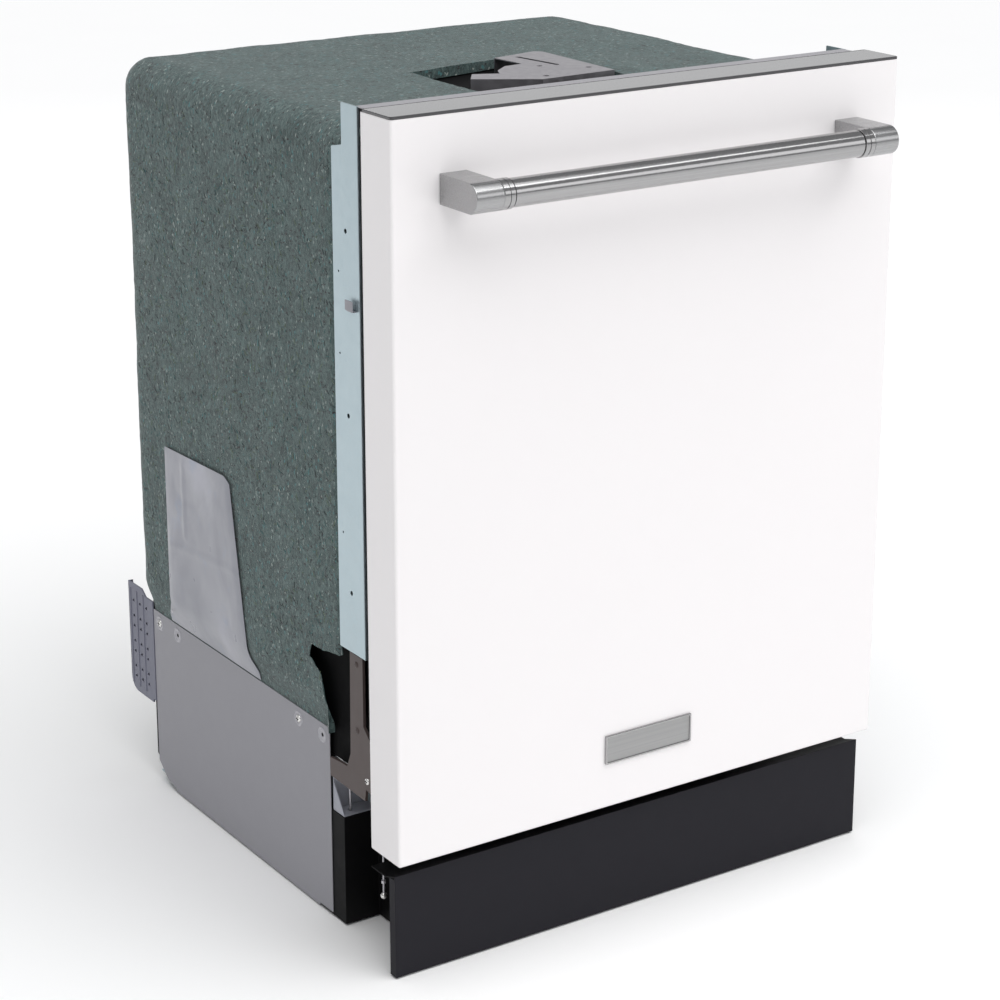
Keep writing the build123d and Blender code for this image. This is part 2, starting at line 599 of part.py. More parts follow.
def build_door_shell():
    door = block((-DOOR_HALF, DOOR_HALF), (0, DOOR_THICK), (DOOR_BOTTOM, PANEL_TOP))
    front_corners = door.edges().filter_by(Axis.Z).group_by(Axis.Y)[0]
    door = fillet(front_corners, 3)
    inner_x = (SHEET - DOOR_HALF, DOOR_HALF - SHEET)
    door -= block(inner_x, (SHEET, DOOR_THICK + 1), (DOOR_BOTTOM + SHEET, PANEL_TOP + 1))
    save("door_outer_panel", door)

    liner_x = (-LINER_HALF, LINER_HALF)
    liner_z = (LINER_BOTTOM, LINER_TOP)
    liner = block(liner_x, (40, LINER_BACK), liner_z)
    inner_z = (LINER_BOTTOM + SHEET, LINER_TOP - SHEET)
    liner -= block((SHEET - LINER_HALF, LINER_HALF - SHEET), (39, LINER_BACK - SHEET), inner_z)
    low_x, high_x, low_z, high_z = DISPENSER
    liner -= block((low_x + 5, high_x - 5), (50, 60), (low_z + 5, high_z - 5))
    liner -= block((-16, 16), (50, 60), (831, 849))
    save("door_inner_liner", liner)

    cap = block((-DOOR_HALF, DOOR_HALF), (0, DOOR_THICK), (PANEL_TOP, HEIGHT))
    cap = fillet(cap.edges().filter_by(Axis.Z).group_by(Axis.Y)[0], 3)
    skirt_x = (SHEET - DOOR_HALF + 0.3, DOOR_HALF - SHEET - 0.3)
    cap += block(skirt_x, (DOOR_THICK - 2, DOOR_THICK), (LINER_TOP + 0.3, PANEL_TOP))
    save("control_strip", cap)

    board = block((-130, 130), (8, 44), (853, 854.6))
    board += block((-34, 34), (14, 34), (854.6, PANEL_TOP))
    save("control_board", board)


def build_latch():
    low, high = 828.0, 852.0
    body = block((-26, 26), (28, LINER_BACK - SHEET), (low, high))
    body -= block((-14, 14), (34, LINER_BACK), (832, 850.5))
    save("latch_body", body)
    pawl = block((-6, 6), (38, 52), (842.6, 846.4))
    pawl += bar_x((-9, 9), PAWL_DEPTH, PAWL_Z, 1.8)
    save("latch_pawl", pawl)
    strike = block((-8, 8), (44, 62), (836, 842))
    strike += block((-20, 20), (62, TUB_FRONT), (828, 850))
    save("door_strike", strike)


def build_dispenser():
    low_x, high_x, low_z, high_z = DISPENSER
    cup_low_x, cup_high_x, cup_low_z, cup_high_z = SOAP_CUP
    body_x, body_z = (low_x + 5.3, high_x - 5.3), (low_z + 5.3, high_z - 5.3)
    body = block(body_x, (30, LINER_BACK), body_z)
    body += block((low_x, high_x), (LINER_BACK, LINER_BACK + 2), (low_z, high_z))
    body -= block((cup_low_x, cup_high_x), (36, 62), (cup_low_z, cup_high_z))
    save("dispenser_body", body)
    lid_depth = (LINER_BACK + 2.3, LINER_BACK + 4.3)
    lid_z = (cup_low_z - 3, cup_high_z + 3)
    lid = block((cup_low_x - 3, cup_high_x + 3), lid_depth, lid_z)
    lid += block((cup_low_x + 20, cup_high_x - 20), (lid_depth[1], lid_depth[1] + 3), (585, 589))
    save("dispenser_lid", lid)
    cap = bar_y(48, (LINER_BACK + 2.2, LINER_BACK + 6), 545, 23)
    cap += block((44, 52), (LINER_BACK + 6, LINER_BACK + 10), (528, 562))
    save("rinse_aid_cap", cap)


def build_handle():
    span = HANDLE_HALF - POST_WIDTH
    post_z = (HANDLE_Z - POST_RADIUS, HANDLE_Z + POST_RADIUS)
    post = block((span, HANDLE_HALF), (HANDLE_DEPTH, 0), post_z)
    post += bar_x((span, HANDLE_HALF), HANDLE_DEPTH, HANDLE_Z, POST_RADIUS)
    save("handle_posts", *both_sides(post))
    tube = bar_x((-span, span), HANDLE_DEPTH, HANDLE_Z, TUBE_RADIUS)
    for side in (-1, 1):
        inner, outer = span - COLLAR_LENGTH, span
        tube += bar_x(sorted((side * inner, side * outer)), HANDLE_DEPTH, HANDLE_Z, POST_RADIUS)
    save("handle_tube", tube)


def build_badge():
    low_x, high_x, low_z, high_z = BADGE
    plate = block((low_x, high_x), (-2.6, 0), (low_z, high_z))
    plate -= block((low_x + 2, high_x - 2), (-3, -1.6), (low_z + 2, high_z - 2))
    save("badge_plate", plate)


def build_feet():
    for place, depth in FOOT_PLACES.items():
        for x, side in ((-FOOT_HALF, "left"), (FOOT_HALF, "right")):
            foot = bar_z(x, depth, (0, 7), FOOT_RADIUS) + bar_z(x, depth, (7, 72), FOOT_STEM)
            save(f"foot_{place}_{side}", foot)


build_tub()
build_frame()
build_gasket()
build_felt()
build_top_bracket()
build_breather()
build_base()
build_side_panels()
build_vents()
build_toe_kick()
build_corner_brackets()
build_hinges()
build_water_system()
build_spray_arms()
build_lower_rack()
build_upper_racks()
build_door_shell()
build_latch()
build_dispenser()
build_handle()
build_badge()
build_feet()
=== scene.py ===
import math
import random

import bmesh
import bpy
from mathutils import Matrix, Vector, noise


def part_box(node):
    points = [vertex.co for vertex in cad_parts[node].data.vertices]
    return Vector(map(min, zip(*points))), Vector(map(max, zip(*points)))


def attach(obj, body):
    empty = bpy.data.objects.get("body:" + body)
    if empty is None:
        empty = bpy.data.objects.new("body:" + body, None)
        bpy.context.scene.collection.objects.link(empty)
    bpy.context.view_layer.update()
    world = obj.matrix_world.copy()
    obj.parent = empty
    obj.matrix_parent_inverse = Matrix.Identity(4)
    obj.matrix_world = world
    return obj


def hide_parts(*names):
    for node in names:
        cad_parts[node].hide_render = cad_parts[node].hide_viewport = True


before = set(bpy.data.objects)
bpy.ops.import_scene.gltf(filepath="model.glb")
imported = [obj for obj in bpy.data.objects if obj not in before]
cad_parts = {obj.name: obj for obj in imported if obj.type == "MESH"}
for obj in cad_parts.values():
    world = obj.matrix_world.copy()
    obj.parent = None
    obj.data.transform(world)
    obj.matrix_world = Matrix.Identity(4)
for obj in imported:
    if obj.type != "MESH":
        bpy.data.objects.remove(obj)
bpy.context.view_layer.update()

MM = 0.001


# ---------------------------------------------------------------- places

def low(node):
    return Vector(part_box(node)[0])


def high(node):
    return Vector(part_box(node)[1])


FACE = low("door_outer_panel").y
TOP = high("control_strip").z


def behind(depth):
    """The y of a point this many millimetres behind the door's front face."""
    return FACE + depth * MM


def in_metres(profile):
    """A profile or outline given in millimetres."""
    return [(along * MM, radius * MM) for along, radius in profile]


HUB_Y = behind(310)
SCREW_Z = 199 * MM
WHEEL_OUT = -264 * MM
SHEET = 1.2 * MM


def eased(value):
    """A step that starts and ends gently, held between 0 and 1."""
    value = max(0.0, min(1.0, value))
    return value * value * (3 - 2 * value)


# ---------------------------------------------------------------- mesh helpers

def finish_mesh(name, mesh, smooth=35):
    """Turn a mesh into an object with soft shading below an edge angle."""
    mesh.polygons.foreach_set("use_smooth", [True] * len(mesh.polygons))
    mesh.set_sharp_from_angle(angle=math.radians(smooth))
    mesh.update()
    obj = bpy.data.objects.new(name, mesh)
    bpy.context.scene.collection.objects.link(obj)
    return obj


def from_bmesh(name, bm, smooth=35):
    mesh = bpy.data.meshes.new(name)
    bmesh.ops.recalc_face_normals(bm, faces=bm.faces)
    bm.to_mesh(mesh)
    bm.free()
    return finish_mesh(name, mesh, smooth)


def joined(name, objects, smooth=35):
    """Several pieces of one part as one object."""
    bm = bmesh.new()
    materials = []
    for obj in objects:
        source = bpy.data.meshes.new_from_object(obj)
        start = len(bm.faces)
        bm.from_mesh(source)
        bm.faces.ensure_lookup_table()
        offset = len(materials)
        for face in bm.faces[start:]:
            face.material_index += offset
        materials += list(source.materials) or [None]
        bpy.data.objects.remove(obj)
    mesh = bpy.data.meshes.new(name)
    bm.to_mesh(mesh)
    bm.free()
    for material in materials:
        mesh.materials.append(material)
    return finish_mesh(name, mesh, smooth)


def box_mesh(start, end):
    """A sharp box between two corners."""
    bm = bmesh.new()
    bmesh.ops.create_cube(bm, size=1)
    for vert in bm.verts:
        vert.co = Vector(start[i] if vert.co[i] < 0 else end[i] for i in range(3))
    return bm


def block(name, start, end, bevel=0.6, segments=2):
    """A box between two corners with rounded edges; bevel in millimetres."""
    bm = box_mesh(start, end)
    size = min(abs(end[i] - start[i]) for i in range(3))
    width = min(bevel * MM, size * 0.45)
    if width > 0:
        bmesh.ops.bevel(
            bm, geom=bm.edges[:], offset=width, segments=segments, profile=0.5,
            affect="EDGES", clamp_overlap=True,
        )
    return from_bmesh(name, bm)


AXIS_TURNS = {
    "X": Matrix(((0, 0, 1, 0), (1, 0, 0, 0), (0, 1, 0, 0), (0, 0, 0, 1))),
    "Y": Matrix(((1, 0, 0, 0), (0, 0, -1, 0), (0, 1, 0, 0), (0, 0, 0, 1))),
    "Z": Matrix.Identity(4),
}


def curve_mesh(curve):
    holder = bpy.data.objects.new(curve.name, curve)
    mesh = bpy.data.meshes.new_from_object(holder)
    bpy.data.objects.remove(holder)
    return mesh


def sheet(name, loops, axis, start, end, bevel=0.25):
    """A flat plate across an axis: the first loop is its outline, the rest are holes."""
    curve = bpy.data.curves.new(name, "CURVE")
    curve.dimensions = "2D"
    curve.fill_mode = "BOTH"
    curve.bevel_mode = "ROUND"
    edge = min(bevel * MM, abs(end - start) * 0.4)
    curve.extrude = abs(end - start) / 2 - edge
    curve.bevel_depth = edge
    curve.bevel_resolution = 1
    curve.offset = -edge
    for loop in loops:
        spline = curve.splines.new("POLY")
        spline.points.add(len(loop) - 1)
        for point, (u, v) in zip(spline.points, loop):
            point.co = (u, v, 0, 1)
        spline.use_cyclic_u = True
    mesh = curve_mesh(curve)
    middle = (start + end) / 2
    shift = Matrix.Translation(Vector((0, 0, -middle if axis == "Y" else middle)))
    mesh.transform(AXIS_TURNS[axis] @ shift)
    bm = bmesh.new()
    bm.from_mesh(mesh)
    bmesh.ops.remove_doubles(bm, verts=bm.verts, dist=1e-7)
    return from_bmesh(name, bm)


def circle(u, v, radius, count=24):
    """A round outline for a hole, in metres."""
    step = 2 * math.pi / count
    return [(u + radius * math.cos(i * step), v + radius * math.sin(i * step)) for i in range(count)]


def arc(u, v, radius, first, last, steps):
    """Points on a circle between two angles in degrees."""
    angles = [math.radians(first + (last - first) * i / steps) for i in range(steps + 1)]
    return [(u + radius * math.cos(angle), v + radius * math.sin(angle)) for angle in angles]


def corner_curve(before, point, after, radius, share, steps):
    """A curve through one corner that uses at most a share of each side."""
    here = Vector(point)
    back, ahead = Vector(before) - here, Vector(after) - here
    cut = min(radius, back.length * share, ahead.length * share)
    first, last = here + back.normalized() * cut, here + ahead.normalized() * cut
    curve = []
    for step in range(steps + 1):
        t = step / steps
        curve.append(tuple(first.lerp(here, t).lerp(here.lerp(last, t), t)))
    return curve


def rounded_loop(points, radius, steps=4):
    """An outline with every corner rounded by at most radius."""
    result = []
    for i, point in enumerate(points):
        result += corner_curve(points[i - 1], point, points[(i + 1) % len(points)], radius, 0.45, steps)
    return result


def bent(points, radius, steps=5):
    """An open route with every corner rounded."""
    result = [tuple(points[0])]
    for before, point, after in zip(points, points[1:], points[2:]):
        result += corner_curve(before, point, after, radius, 0.49, steps)
    return result + [tuple(points[-1])]


def rectangle(u0, u1, v0, v1, radius):
    """A rectangular outline with rounded corners."""
    return rounded_loop(box_outline(u0, u1, v0, v1), radius, 6)


def box_outline(u0, u1, v0, v1):
    return [(u0, v0), (u1, v0), (u1, v1), (u0, v1)]


def lathe(name, profile, axis, centre, count=48, smooth=35, bored=False):
    """A turned shape from (distance along the axis, radius); a bored one closes on itself."""
    centre = Vector(centre)
    turn = AXIS_TURNS[axis].to_3x3()
    bm = bmesh.new()
    rings = []
    for along, radius in profile:
        ring = []
        for i in range(count):
            angle = 2 * math.pi * i / count
            local = Vector((radius * math.cos(angle), radius * math.sin(angle), along))
            ring.append(bm.verts.new(centre + turn @ local))
        rings.append(ring)
    pairs = list(zip(rings, rings[1:]))
    if bored:
        pairs.insert(0, (rings[-1], rings[0]))
    for lower, upper in pairs:
        for i in range(count):
            j = (i + 1) % count
            bm.faces.new((lower[i], lower[j], upper[j], upper[i]))
    if not bored:
        bm.faces.new(reversed(rings[0]))
        bm.faces.new(rings[-1])
    return from_bmesh(name, bm, smooth)


def rod(name, axis, start, length, radius, chamfer=0.3, count=32):
    """A round bar from a start point along an axis, with softened ends."""
    edge = min(chamfer * MM, radius * 0.4, length * 0.4)
    profile = [(0, radius - edge), (edge, radius), (length - edge, radius), (length, radius - edge)]
    return lathe(name, profile, axis, start, count)


def wires(name, runs, radius, resolution=3):
    """Round wire along straight or bent runs of points."""
    curve = bpy.data.curves.new(name, "CURVE")
    curve.dimensions = "3D"
    curve.bevel_depth = radius
    curve.bevel_resolution = resolution
    curve.use_fill_caps = True
    for run in runs:
        spline = curve.splines.new("POLY")
        spline.points.add(len(run) - 1)
        for point, place in zip(spline.points, run):
            point.co = (*place, 1)
    return finish_mesh(name, curve_mesh(curve), 60)


def mirror_x(obj, name):
    """A copy on the other side of the machine."""
    mesh = obj.data.copy()
    mesh.transform(Matrix.Scale(-1, 4, (1, 0, 0)))
    mesh.flip_normals()
    return finish_mesh(name, mesh)


def assemble(name, body, nodes, pieces, smooth=35):
    """Join meshes, each with its own material, into one piece that rides on a body."""
    objects = []
    for obj, material in pieces:
        obj.data.materials.clear()
        obj.data.materials.append(material)
        objects.append(obj)
    piece = joined(name, objects, smooth) if len(objects) > 1 else objects[0]
    piece.name = name
    normals = piece.modifiers.new("normals", "WEIGHTED_NORMAL")
    normals.keep_sharp = True
    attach(piece, body)
    if nodes:
        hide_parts(*nodes)
    return piece


def both_sides(pieces):
    """Pieces of the left side with their copies on the right."""
    return pieces + [(mirror_x(obj, obj.name + "_right"), material) for obj, material in pieces]


def applied(obj):
    """The same object with its modifiers made part of its mesh."""
    depsgraph = bpy.context.evaluated_depsgraph_get()
    mesh = bpy.data.meshes.new_from_object(obj.evaluated_get(depsgraph))
    obj.modifiers.clear()
    obj.data = mesh
    return obj


def pan(name, start, end, open_sides, bevel, thickness):
    """A folded sheet box, open on the sides that face the given directions."""
    bm = box_mesh(start, end)
    bm.normal_update()
    gone = [f for f in bm.faces if any(f.normal.dot(Vector(side)) > 0.9 for side in open_sides)]
    bmesh.ops.delete(bm, geom=gone, context="FACES")
    folds = [edge for edge in bm.edges if not edge.is_boundary]
    bmesh.ops.bevel(
        bm, geom=folds, offset=bevel * MM, segments=4, profile=0.5, affect="EDGES",
        clamp_overlap=True,
    )
    obj = from_bmesh(name, bm)
    shell = obj.modifiers.new("shell", "SOLIDIFY")
    shell.thickness = thickness * MM
    shell.offset = -1
    shell.use_even_offset = True
    return applied(obj)


def keep(node, material, bevel=0.35):
    """A CAD node that stays, with its material and softened edges."""
    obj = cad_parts[node]
    obj.data.materials.clear()
    obj.data.materials.append(material)
    weld = obj.modifiers.new("weld", "WELD")
    weld.merge_threshold = 0.01 * MM
    edges = obj.modifiers.new("edges", "BEVEL")
    edges.width = bevel * MM
    edges.segments = 2
    edges.limit_method = "ANGLE"
    edges.angle_limit = math.radians(40)
    edges.harden_normals = True


def domed(radius, height, steps, least, flatness=1.0):
    """The profile of a domed head that faces the left side; height in millimetres."""
    profile = [(0, radius)]
    for step in range(1, steps + 1):
        angle = math.pi / 2 * step / steps
        profile.append((-height * MM * math.sin(angle), radius * max(least, math.cos(angle)) ** flatness))
    return profile


def cross_screw(name, centre, radius, head=1.8):
    """A pan-head screw with a cross recess, facing the left side."""
    dome = lathe(name, domed(radius, head, 5, 0.12, 0.6), "X", centre, 28)
    middle = Vector(centre) - Vector((head * MM * 0.86, 0, 0))
    long, short = radius * 0.55, radius * 0.13
    pieces = [(dome, ZINC_BRIGHT)]
    # The cross recess is not cut; two dark bars stand in for it as painted shade.
    for half in (Vector((0.3 * MM, long, short)), Vector((0.3 * MM, short, long))):
        pieces.append((block(name + "_slot", middle - half, middle + half, 0), BITUMEN))
    return pieces


# ---------------------------------------------------------------- material helpers

class Shader:
    """A small wrapper that adds and links nodes of one material."""

    def __init__(self, name):
        self.material = bpy.data.materials.new(name)
        self.material.use_nodes = True
        self.tree = self.material.node_tree
        self.bsdf = self.tree.nodes["Principled BSDF"]
        self.coords = self.add("ShaderNodeTexCoord").outputs["Object"]

    def add(self, kind, **settings):
        node = self.tree.nodes.new(kind)
        for key, value in settings.items():
            setattr(node, key, value)
        return node

    def link(self, source, target):
        self.tree.links.new(source, target)

    def set(self, **values):
        for key, value in values.items():
            self.bsdf.inputs[key.replace("_", " ")].default_value = value
        return self

    def scaled(self, scale):
        node = self.add("ShaderNodeMapping")
        node.inputs["Scale"].default_value = scale
        self.link(self.coords, node.inputs["Vector"])
        return node.outputs["Vector"]

    def noise(self, scale, detail=4, rough=0.55, stretch=None, distortion=0):
        node = self.add("ShaderNodeTexNoise")
        node.inputs["Scale"].default_value = scale
        node.inputs["Detail"].default_value = detail
        node.inputs["Roughness"].default_value = rough
        node.inputs["Distortion"].default_value = distortion
        self.link(self.scaled(stretch) if stretch else self.coords, node.inputs["Vector"])
        return node.outputs["Fac"]

    def cells(self, scale, output="Color", stretch=None, feature="F1"):
        node = self.add("ShaderNodeTexVoronoi", feature=feature)
        node.inputs["Scale"].default_value = scale
        self.link(self.scaled(stretch) if stretch else self.coords, node.inputs["Vector"])
        return node.outputs[output]

    def ramp(self, value, stops, interpolation="LINEAR"):
        node = self.add("ShaderNodeValToRGB")
        node.color_ramp.interpolation = interpolation
        elements = node.color_ramp.elements
        while len(elements) < len(stops):
            elements.new(0.5)
        for element, (position, colour) in zip(elements, stops):
            element.position = position
            element.color = (*colour, 1) if len(colour) == 3 else colour
        self.link(value, node.inputs["Fac"])
        return node.outputs["Color"]

    def mix(self, factor, first, second):
        node = self.add("ShaderNodeMix", data_type="RGBA")
        for value, socket in ((factor, node.inputs[0]), (first, node.inputs[6]), (second, node.inputs[7])):
            if hasattr(value, "links"):
                self.link(value, socket)
            else:
                socket.default_value = value if isinstance(value, float) else (*value, 1)
        return node.outputs[2]

    def range(self, value, low_end, high_end):
        node = self.add("ShaderNodeMapRange")
        self.link(value, node.inputs["Value"])
        node.inputs["To Min"].default_value = low_end
        node.inputs["To Max"].default_value = high_end
        return node.outputs["Result"]

    def bump(self, height, distance, strength=1.0, after=None):
        node = self.add("ShaderNodeBump")
        node.inputs["Strength"].default_value = strength
        node.inputs["Distance"].default_value = distance
        self.link(height, node.inputs["Height"])
        if after:
            self.link(after, node.inputs["Normal"])
        return node.outputs["Normal"]

    def colour(self, socket):
        self.link(socket, self.bsdf.inputs["Base Color"])
        return self

    def rough(self, socket):
        self.link(socket, self.bsdf.inputs["Roughness"])
        return self

    def normal(self, socket):
        self.link(socket, self.bsdf.inputs["Normal"])
        return self


def painted(name, base, roughness=0.35, peel=0.00002, coat=0.2, wear=0.04, shine=0.5):
    """Sprayed paint: orange peel, slight tone drift."""
    s = Shader(name)
    drift = s.noise(9, 3)
    dark = tuple(channel * (1 - wear) for channel in base)
    s.colour(s.mix(drift, dark, base))
    s.rough(s.range(s.noise(60, 3), roughness * 0.85, roughness * 1.15))
    s.normal(s.bump(s.noise(900, 2), peel))
    s.set(Coat_Weight=coat, Coat_Roughness=0.15, Specular_IOR_Level=shine)
    return s.material


def brushed(name, base, roughness=0.28, along="X", depth=0.00002):
    """Brushed metal with long fine scratches along one axis."""
    s = Shader(name)
    stretch = {"X": (4, 700, 700), "Y": (700, 4, 700), "Z": (700, 700, 4)}[along]
    scratches = s.noise(1, 3, 0.7, stretch)
    dark = tuple(channel * 0.72 for channel in base)
    s.colour(s.mix(scratches, dark, base))
    s.rough(s.range(scratches, roughness * 0.75, roughness * 1.35))
    s.normal(s.bump(scratches, depth, 0.5))
    s.set(Metallic=1.0)
    return s.material


def moulded(name, base, roughness=0.5, grain=0.00003, shine=0.5):
    """Moulded plastic with a fine spark texture."""
    s = Shader(name)
    dark = tuple(channel * 0.88 for channel in base)
    s.colour(s.mix(s.noise(14, 3), dark, base))
    s.rough(s.range(s.noise(120, 3), roughness * 0.85, roughness * 1.12))
    s.normal(s.bump(s.noise(1600, 2), grain))
    s.set(Specular_IOR_Level=shine)
    return s.material


def galvanised(name, base, roughness=0.38):
    """Zinc-coated sheet with faint spangle."""
    s = Shader(name)
    spangle = s.cells(160)
    tone = s.ramp(spangle, [(0, tuple(c * 0.86 for c in base)), (1, base)])
    s.colour(s.mix(s.noise(30, 4), tone, base))
    s.rough(s.range(spangle, roughness * 0.8, roughness * 1.25))
    s.normal(s.bump(s.noise(300, 3), 0.00002, 0.5))
    s.set(Metallic=0.85)
    return s.material


def felt_material():
    """Recycled-fibre felt: mottled green-grey with coloured shreds and a fuzzy surface."""
    s = Shader("felt")
    patches = s.ramp(s.noise(18, 5, 0.65), [(0.38, (0.029, 0.057, 0.055)), (0.62, (0.062, 0.110, 0.105))])
    fibres = s.ramp(
        s.noise(1, 5, 0.72, (170, 135, 95), distortion=1.8),
        [(0.38, (0.011, 0.025, 0.025)), (0.50, (0.050, 0.090, 0.087)), (0.63, (0.125, 0.190, 0.182))],
    )
    base = s.mix(0.66, patches, fibres)
    flecks = (
        (430, 0.997, (0.25, 0.28, 0.10)),
        (300, 0.980, (0.05, 0.17, 0.18)),
        (340, 0.965, (0.010, 0.013, 0.015)),
        (380, 0.980, (0.28, 0.33, 0.31)),
        (300, 0.998, (0.12, 0.05, 0.05)),
    )
    for index, (scale, share, tint) in enumerate(flecks):
        stretch = (1.0, 1.0 + 0.9 * (index % 2), 1.9 - 0.9 * (index % 2))
        seeded = s.cells(scale, stretch=stretch)
        split = s.add("ShaderNodeSeparateColor")
        s.link(seeded, split.inputs["Color"])
        chosen = s.ramp(split.outputs["Red"], [(0, (0, 0, 0)), (share, (1, 1, 1))], "CONSTANT")
        base = s.mix(chosen, base, tint)
    s.colour(base)
    s.set(Roughness=0.95, Sheen_Weight=0.35, Sheen_Roughness=0.5, Specular_IOR_Level=0.2)
    clumps = s.bump(s.noise(120, 5, 0.7, distortion=1.0), 0.0016, 0.7)
    s.normal(s.bump(s.noise(850, 4, 0.7), 0.0006, 0.8, after=clumps))
    return s.material


def fibre_material(name, tint):
    s = Shader(name)
    s.colour(s.mix(s.noise(200, 2), tuple(c * 0.6 for c in tint), tint))
    s.set(Roughness=0.9, Sheen_Weight=0.3)
    return s.material


def film_material():
    """Milky plastic film over foil: cloudy streaks and soft wrinkles."""
    s = Shader("vent_film")
    cloud = s.noise(9, 4, 0.5, (1, 1.3, 0.8), distortion=0.5)
    tints = [(0.35, (0.225, 0.232, 0.272)), (0.50, (0.30, 0.305, 0.345)), (0.66, (0.38, 0.385, 0.44))]
    tone = s.ramp(cloud, tints)
    blue = s.ramp(s.noise(30, 3, 0.6), [(0.60, (0, 0, 0)), (0.72, (0.4, 0.4, 0.4))])
    s.colour(s.mix(blue, tone, (0.24, 0.30, 0.42)))
    s.rough(s.range(s.noise(30, 3), 0.20, 0.42))
    s.normal(s.bump(s.noise(24, 3, 0.5), 0.0007, 0.5))
    s.set(Coat_Weight=0.4, Coat_Roughness=0.2)
    return s.material


def wire_material():
    """Nylon-coated wire."""
    s = Shader("nylon_wire")
    s.colour(s.mix(s.noise(50, 3), (0.42, 0.43, 0.45), (0.50, 0.51, 0.53)))
    s.rough(s.range(s.noise(200, 2), 0.32, 0.45))
    s.normal(s.bump(s.noise(700, 2), 0.00002))
    return s.material


def circuit_material():
    s = Shader("circuit")
    tracks = s.cells(420, "Distance", feature="DISTANCE_TO_EDGE")
    s.colour(s.ramp(tracks, [(0.06, (0.05, 0.22, 0.09)), (0.12, (0.012, 0.09, 0.035))]))
    s.rough(s.range(s.noise(200, 2), 0.3, 0.45))
    return s.material


def mesh_screen_material():
    """Perforated stainless screen."""
    s = Shader("filter_screen")
    holes = s.cells(520, "Distance")
    s.colour(s.ramp(holes, [(0.28, (0.03, 0.03, 0.03)), (0.36, (0.5, 0.5, 0.5))]))
    s.rough(s.range(s.noise(200, 2), 0.3, 0.4))
    s.normal(s.bump(holes, 0.0004, 0.6))
    s.set(Metallic=0.9)
    return s.material


PAINT_WHITE = painted("door_paint", (0.90, 0.875, 0.88), 0.36, coat=0.15, wear=0.012)
GLOSS_BLACK = painted("gloss_black", (0.030, 0.029, 0.033), 0.12, peel=0.000004, coat=0.8)
BAR_STEEL = brushed("brushed_steel_x", (0.44, 0.437, 0.44), 0.16, "X")
POST_STEEL = brushed("brushed_steel_z", (0.44, 0.44, 0.445), 0.25, "X")
STAINLESS = brushed("stainless", (0.56, 0.56, 0.57), 0.30, "Z")
BADGE_STEEL = brushed("badge_field", (0.40, 0.40, 0.40), 0.30, "X")
BRACKET_STEEL = galvanised("bracket_steel", (0.40, 0.385, 0.41), 0.34)
GALVANISED = galvanised("galvanised", (0.50, 0.60, 0.64))
ZINC = galvanised("zinc", (0.56, 0.55, 0.58), 0.42)
ZINC_BRIGHT = galvanised("bright_zinc", (0.80, 0.79, 0.77), 0.25)
GREY_PAINT = painted("grey_paint", (0.30, 0.297, 0.325), 0.42, coat=0.05, shine=0.35)
# Lighter and glossier than the panels' grey: painted highlight round the screw dimples.
DIMPLE_HIGHLIGHT_PAINT = painted("dimple_painted_highlight", (0.38, 0.376, 0.41), 0.26, coat=0.3)
DULL_ZINC = painted("dull_zinc", (0.36, 0.37, 0.42), 0.36, coat=0.1)
BRONZE = painted("bronze_steel", (0.085, 0.064, 0.060), 0.45, coat=0.0, shine=0.4)
BITUMEN = painted("dark_steel", (0.004, 0.004, 0.0045), 0.8, coat=0.0, shine=0.1)
KICK_PAINT = painted("kick_paint", (0.016, 0.0155, 0.020), 0.50, coat=0.0, shine=0.12)
BLACK_PLASTIC = moulded("black_plastic", (0.0045, 0.0045, 0.005), 0.55, shine=0.12)
GREY_PLASTIC = moulded("grey_plastic", (0.19, 0.195, 0.25), 0.5)
PALE_PLASTIC = moulded("pale_plastic", (0.40, 0.42, 0.45), 0.45)
WHITE_PLASTIC = moulded("white_plastic", (0.72, 0.72, 0.72), 0.4)
RUBBER = moulded("rubber", (0.010, 0.010, 0.011), 0.75, 0.00005, 0.2)
MOTOR = moulded("motor", (0.10, 0.10, 0.11), 0.5)
FELT = felt_material()
FILM = film_material()
WIRE = wire_material()
CIRCUIT = circuit_material()
SCREEN = mesh_screen_material()


# ---------------------------------------------------------------- camera, light, floor

# The studio camera: a long lens at the left front, looking slightly down
CAMERA_TURN = math.radians(33.56)
CAMERA_DIP = math.radians(16.82)
CAMERA_PLACE = (-1.4936, behind(-1976.9), 1.300)
CAMERA_LENS = 94.87


def build_camera():
    camera = bpy.data.objects.new("camera", bpy.data.cameras.new("camera"))
    bpy.context.scene.collection.objects.link(camera)
    level = math.cos(CAMERA_DIP)
    ahead = Vector((math.sin(CAMERA_TURN) * level, math.cos(CAMERA_TURN) * level, -math.sin(CAMERA_DIP)))
    camera.location = CAMERA_PLACE
    camera.rotation_euler = ahead.to_track_quat("-Z", "Y").to_euler()
    camera.data.sensor_width = 36
    camera.data.lens = CAMERA_LENS
    camera.data.shift_y = -0.10
    camera.data.clip_end = 100
    bpy.context.scene.camera = camera


def area_light(name, place, target, size, watts):
    light = bpy.data.lights.new(name, "AREA")
    light.shape = "RECTANGLE"
    light.size, light.size_y = size
    light.energy = watts
    obj = bpy.data.objects.new(name, light)
    obj.location = place
    obj.rotation_euler = (Vector(target) - Vector(place)).to_track_quat("-Z", "Y").to_euler()
    bpy.context.scene.collection.objects.link(obj)


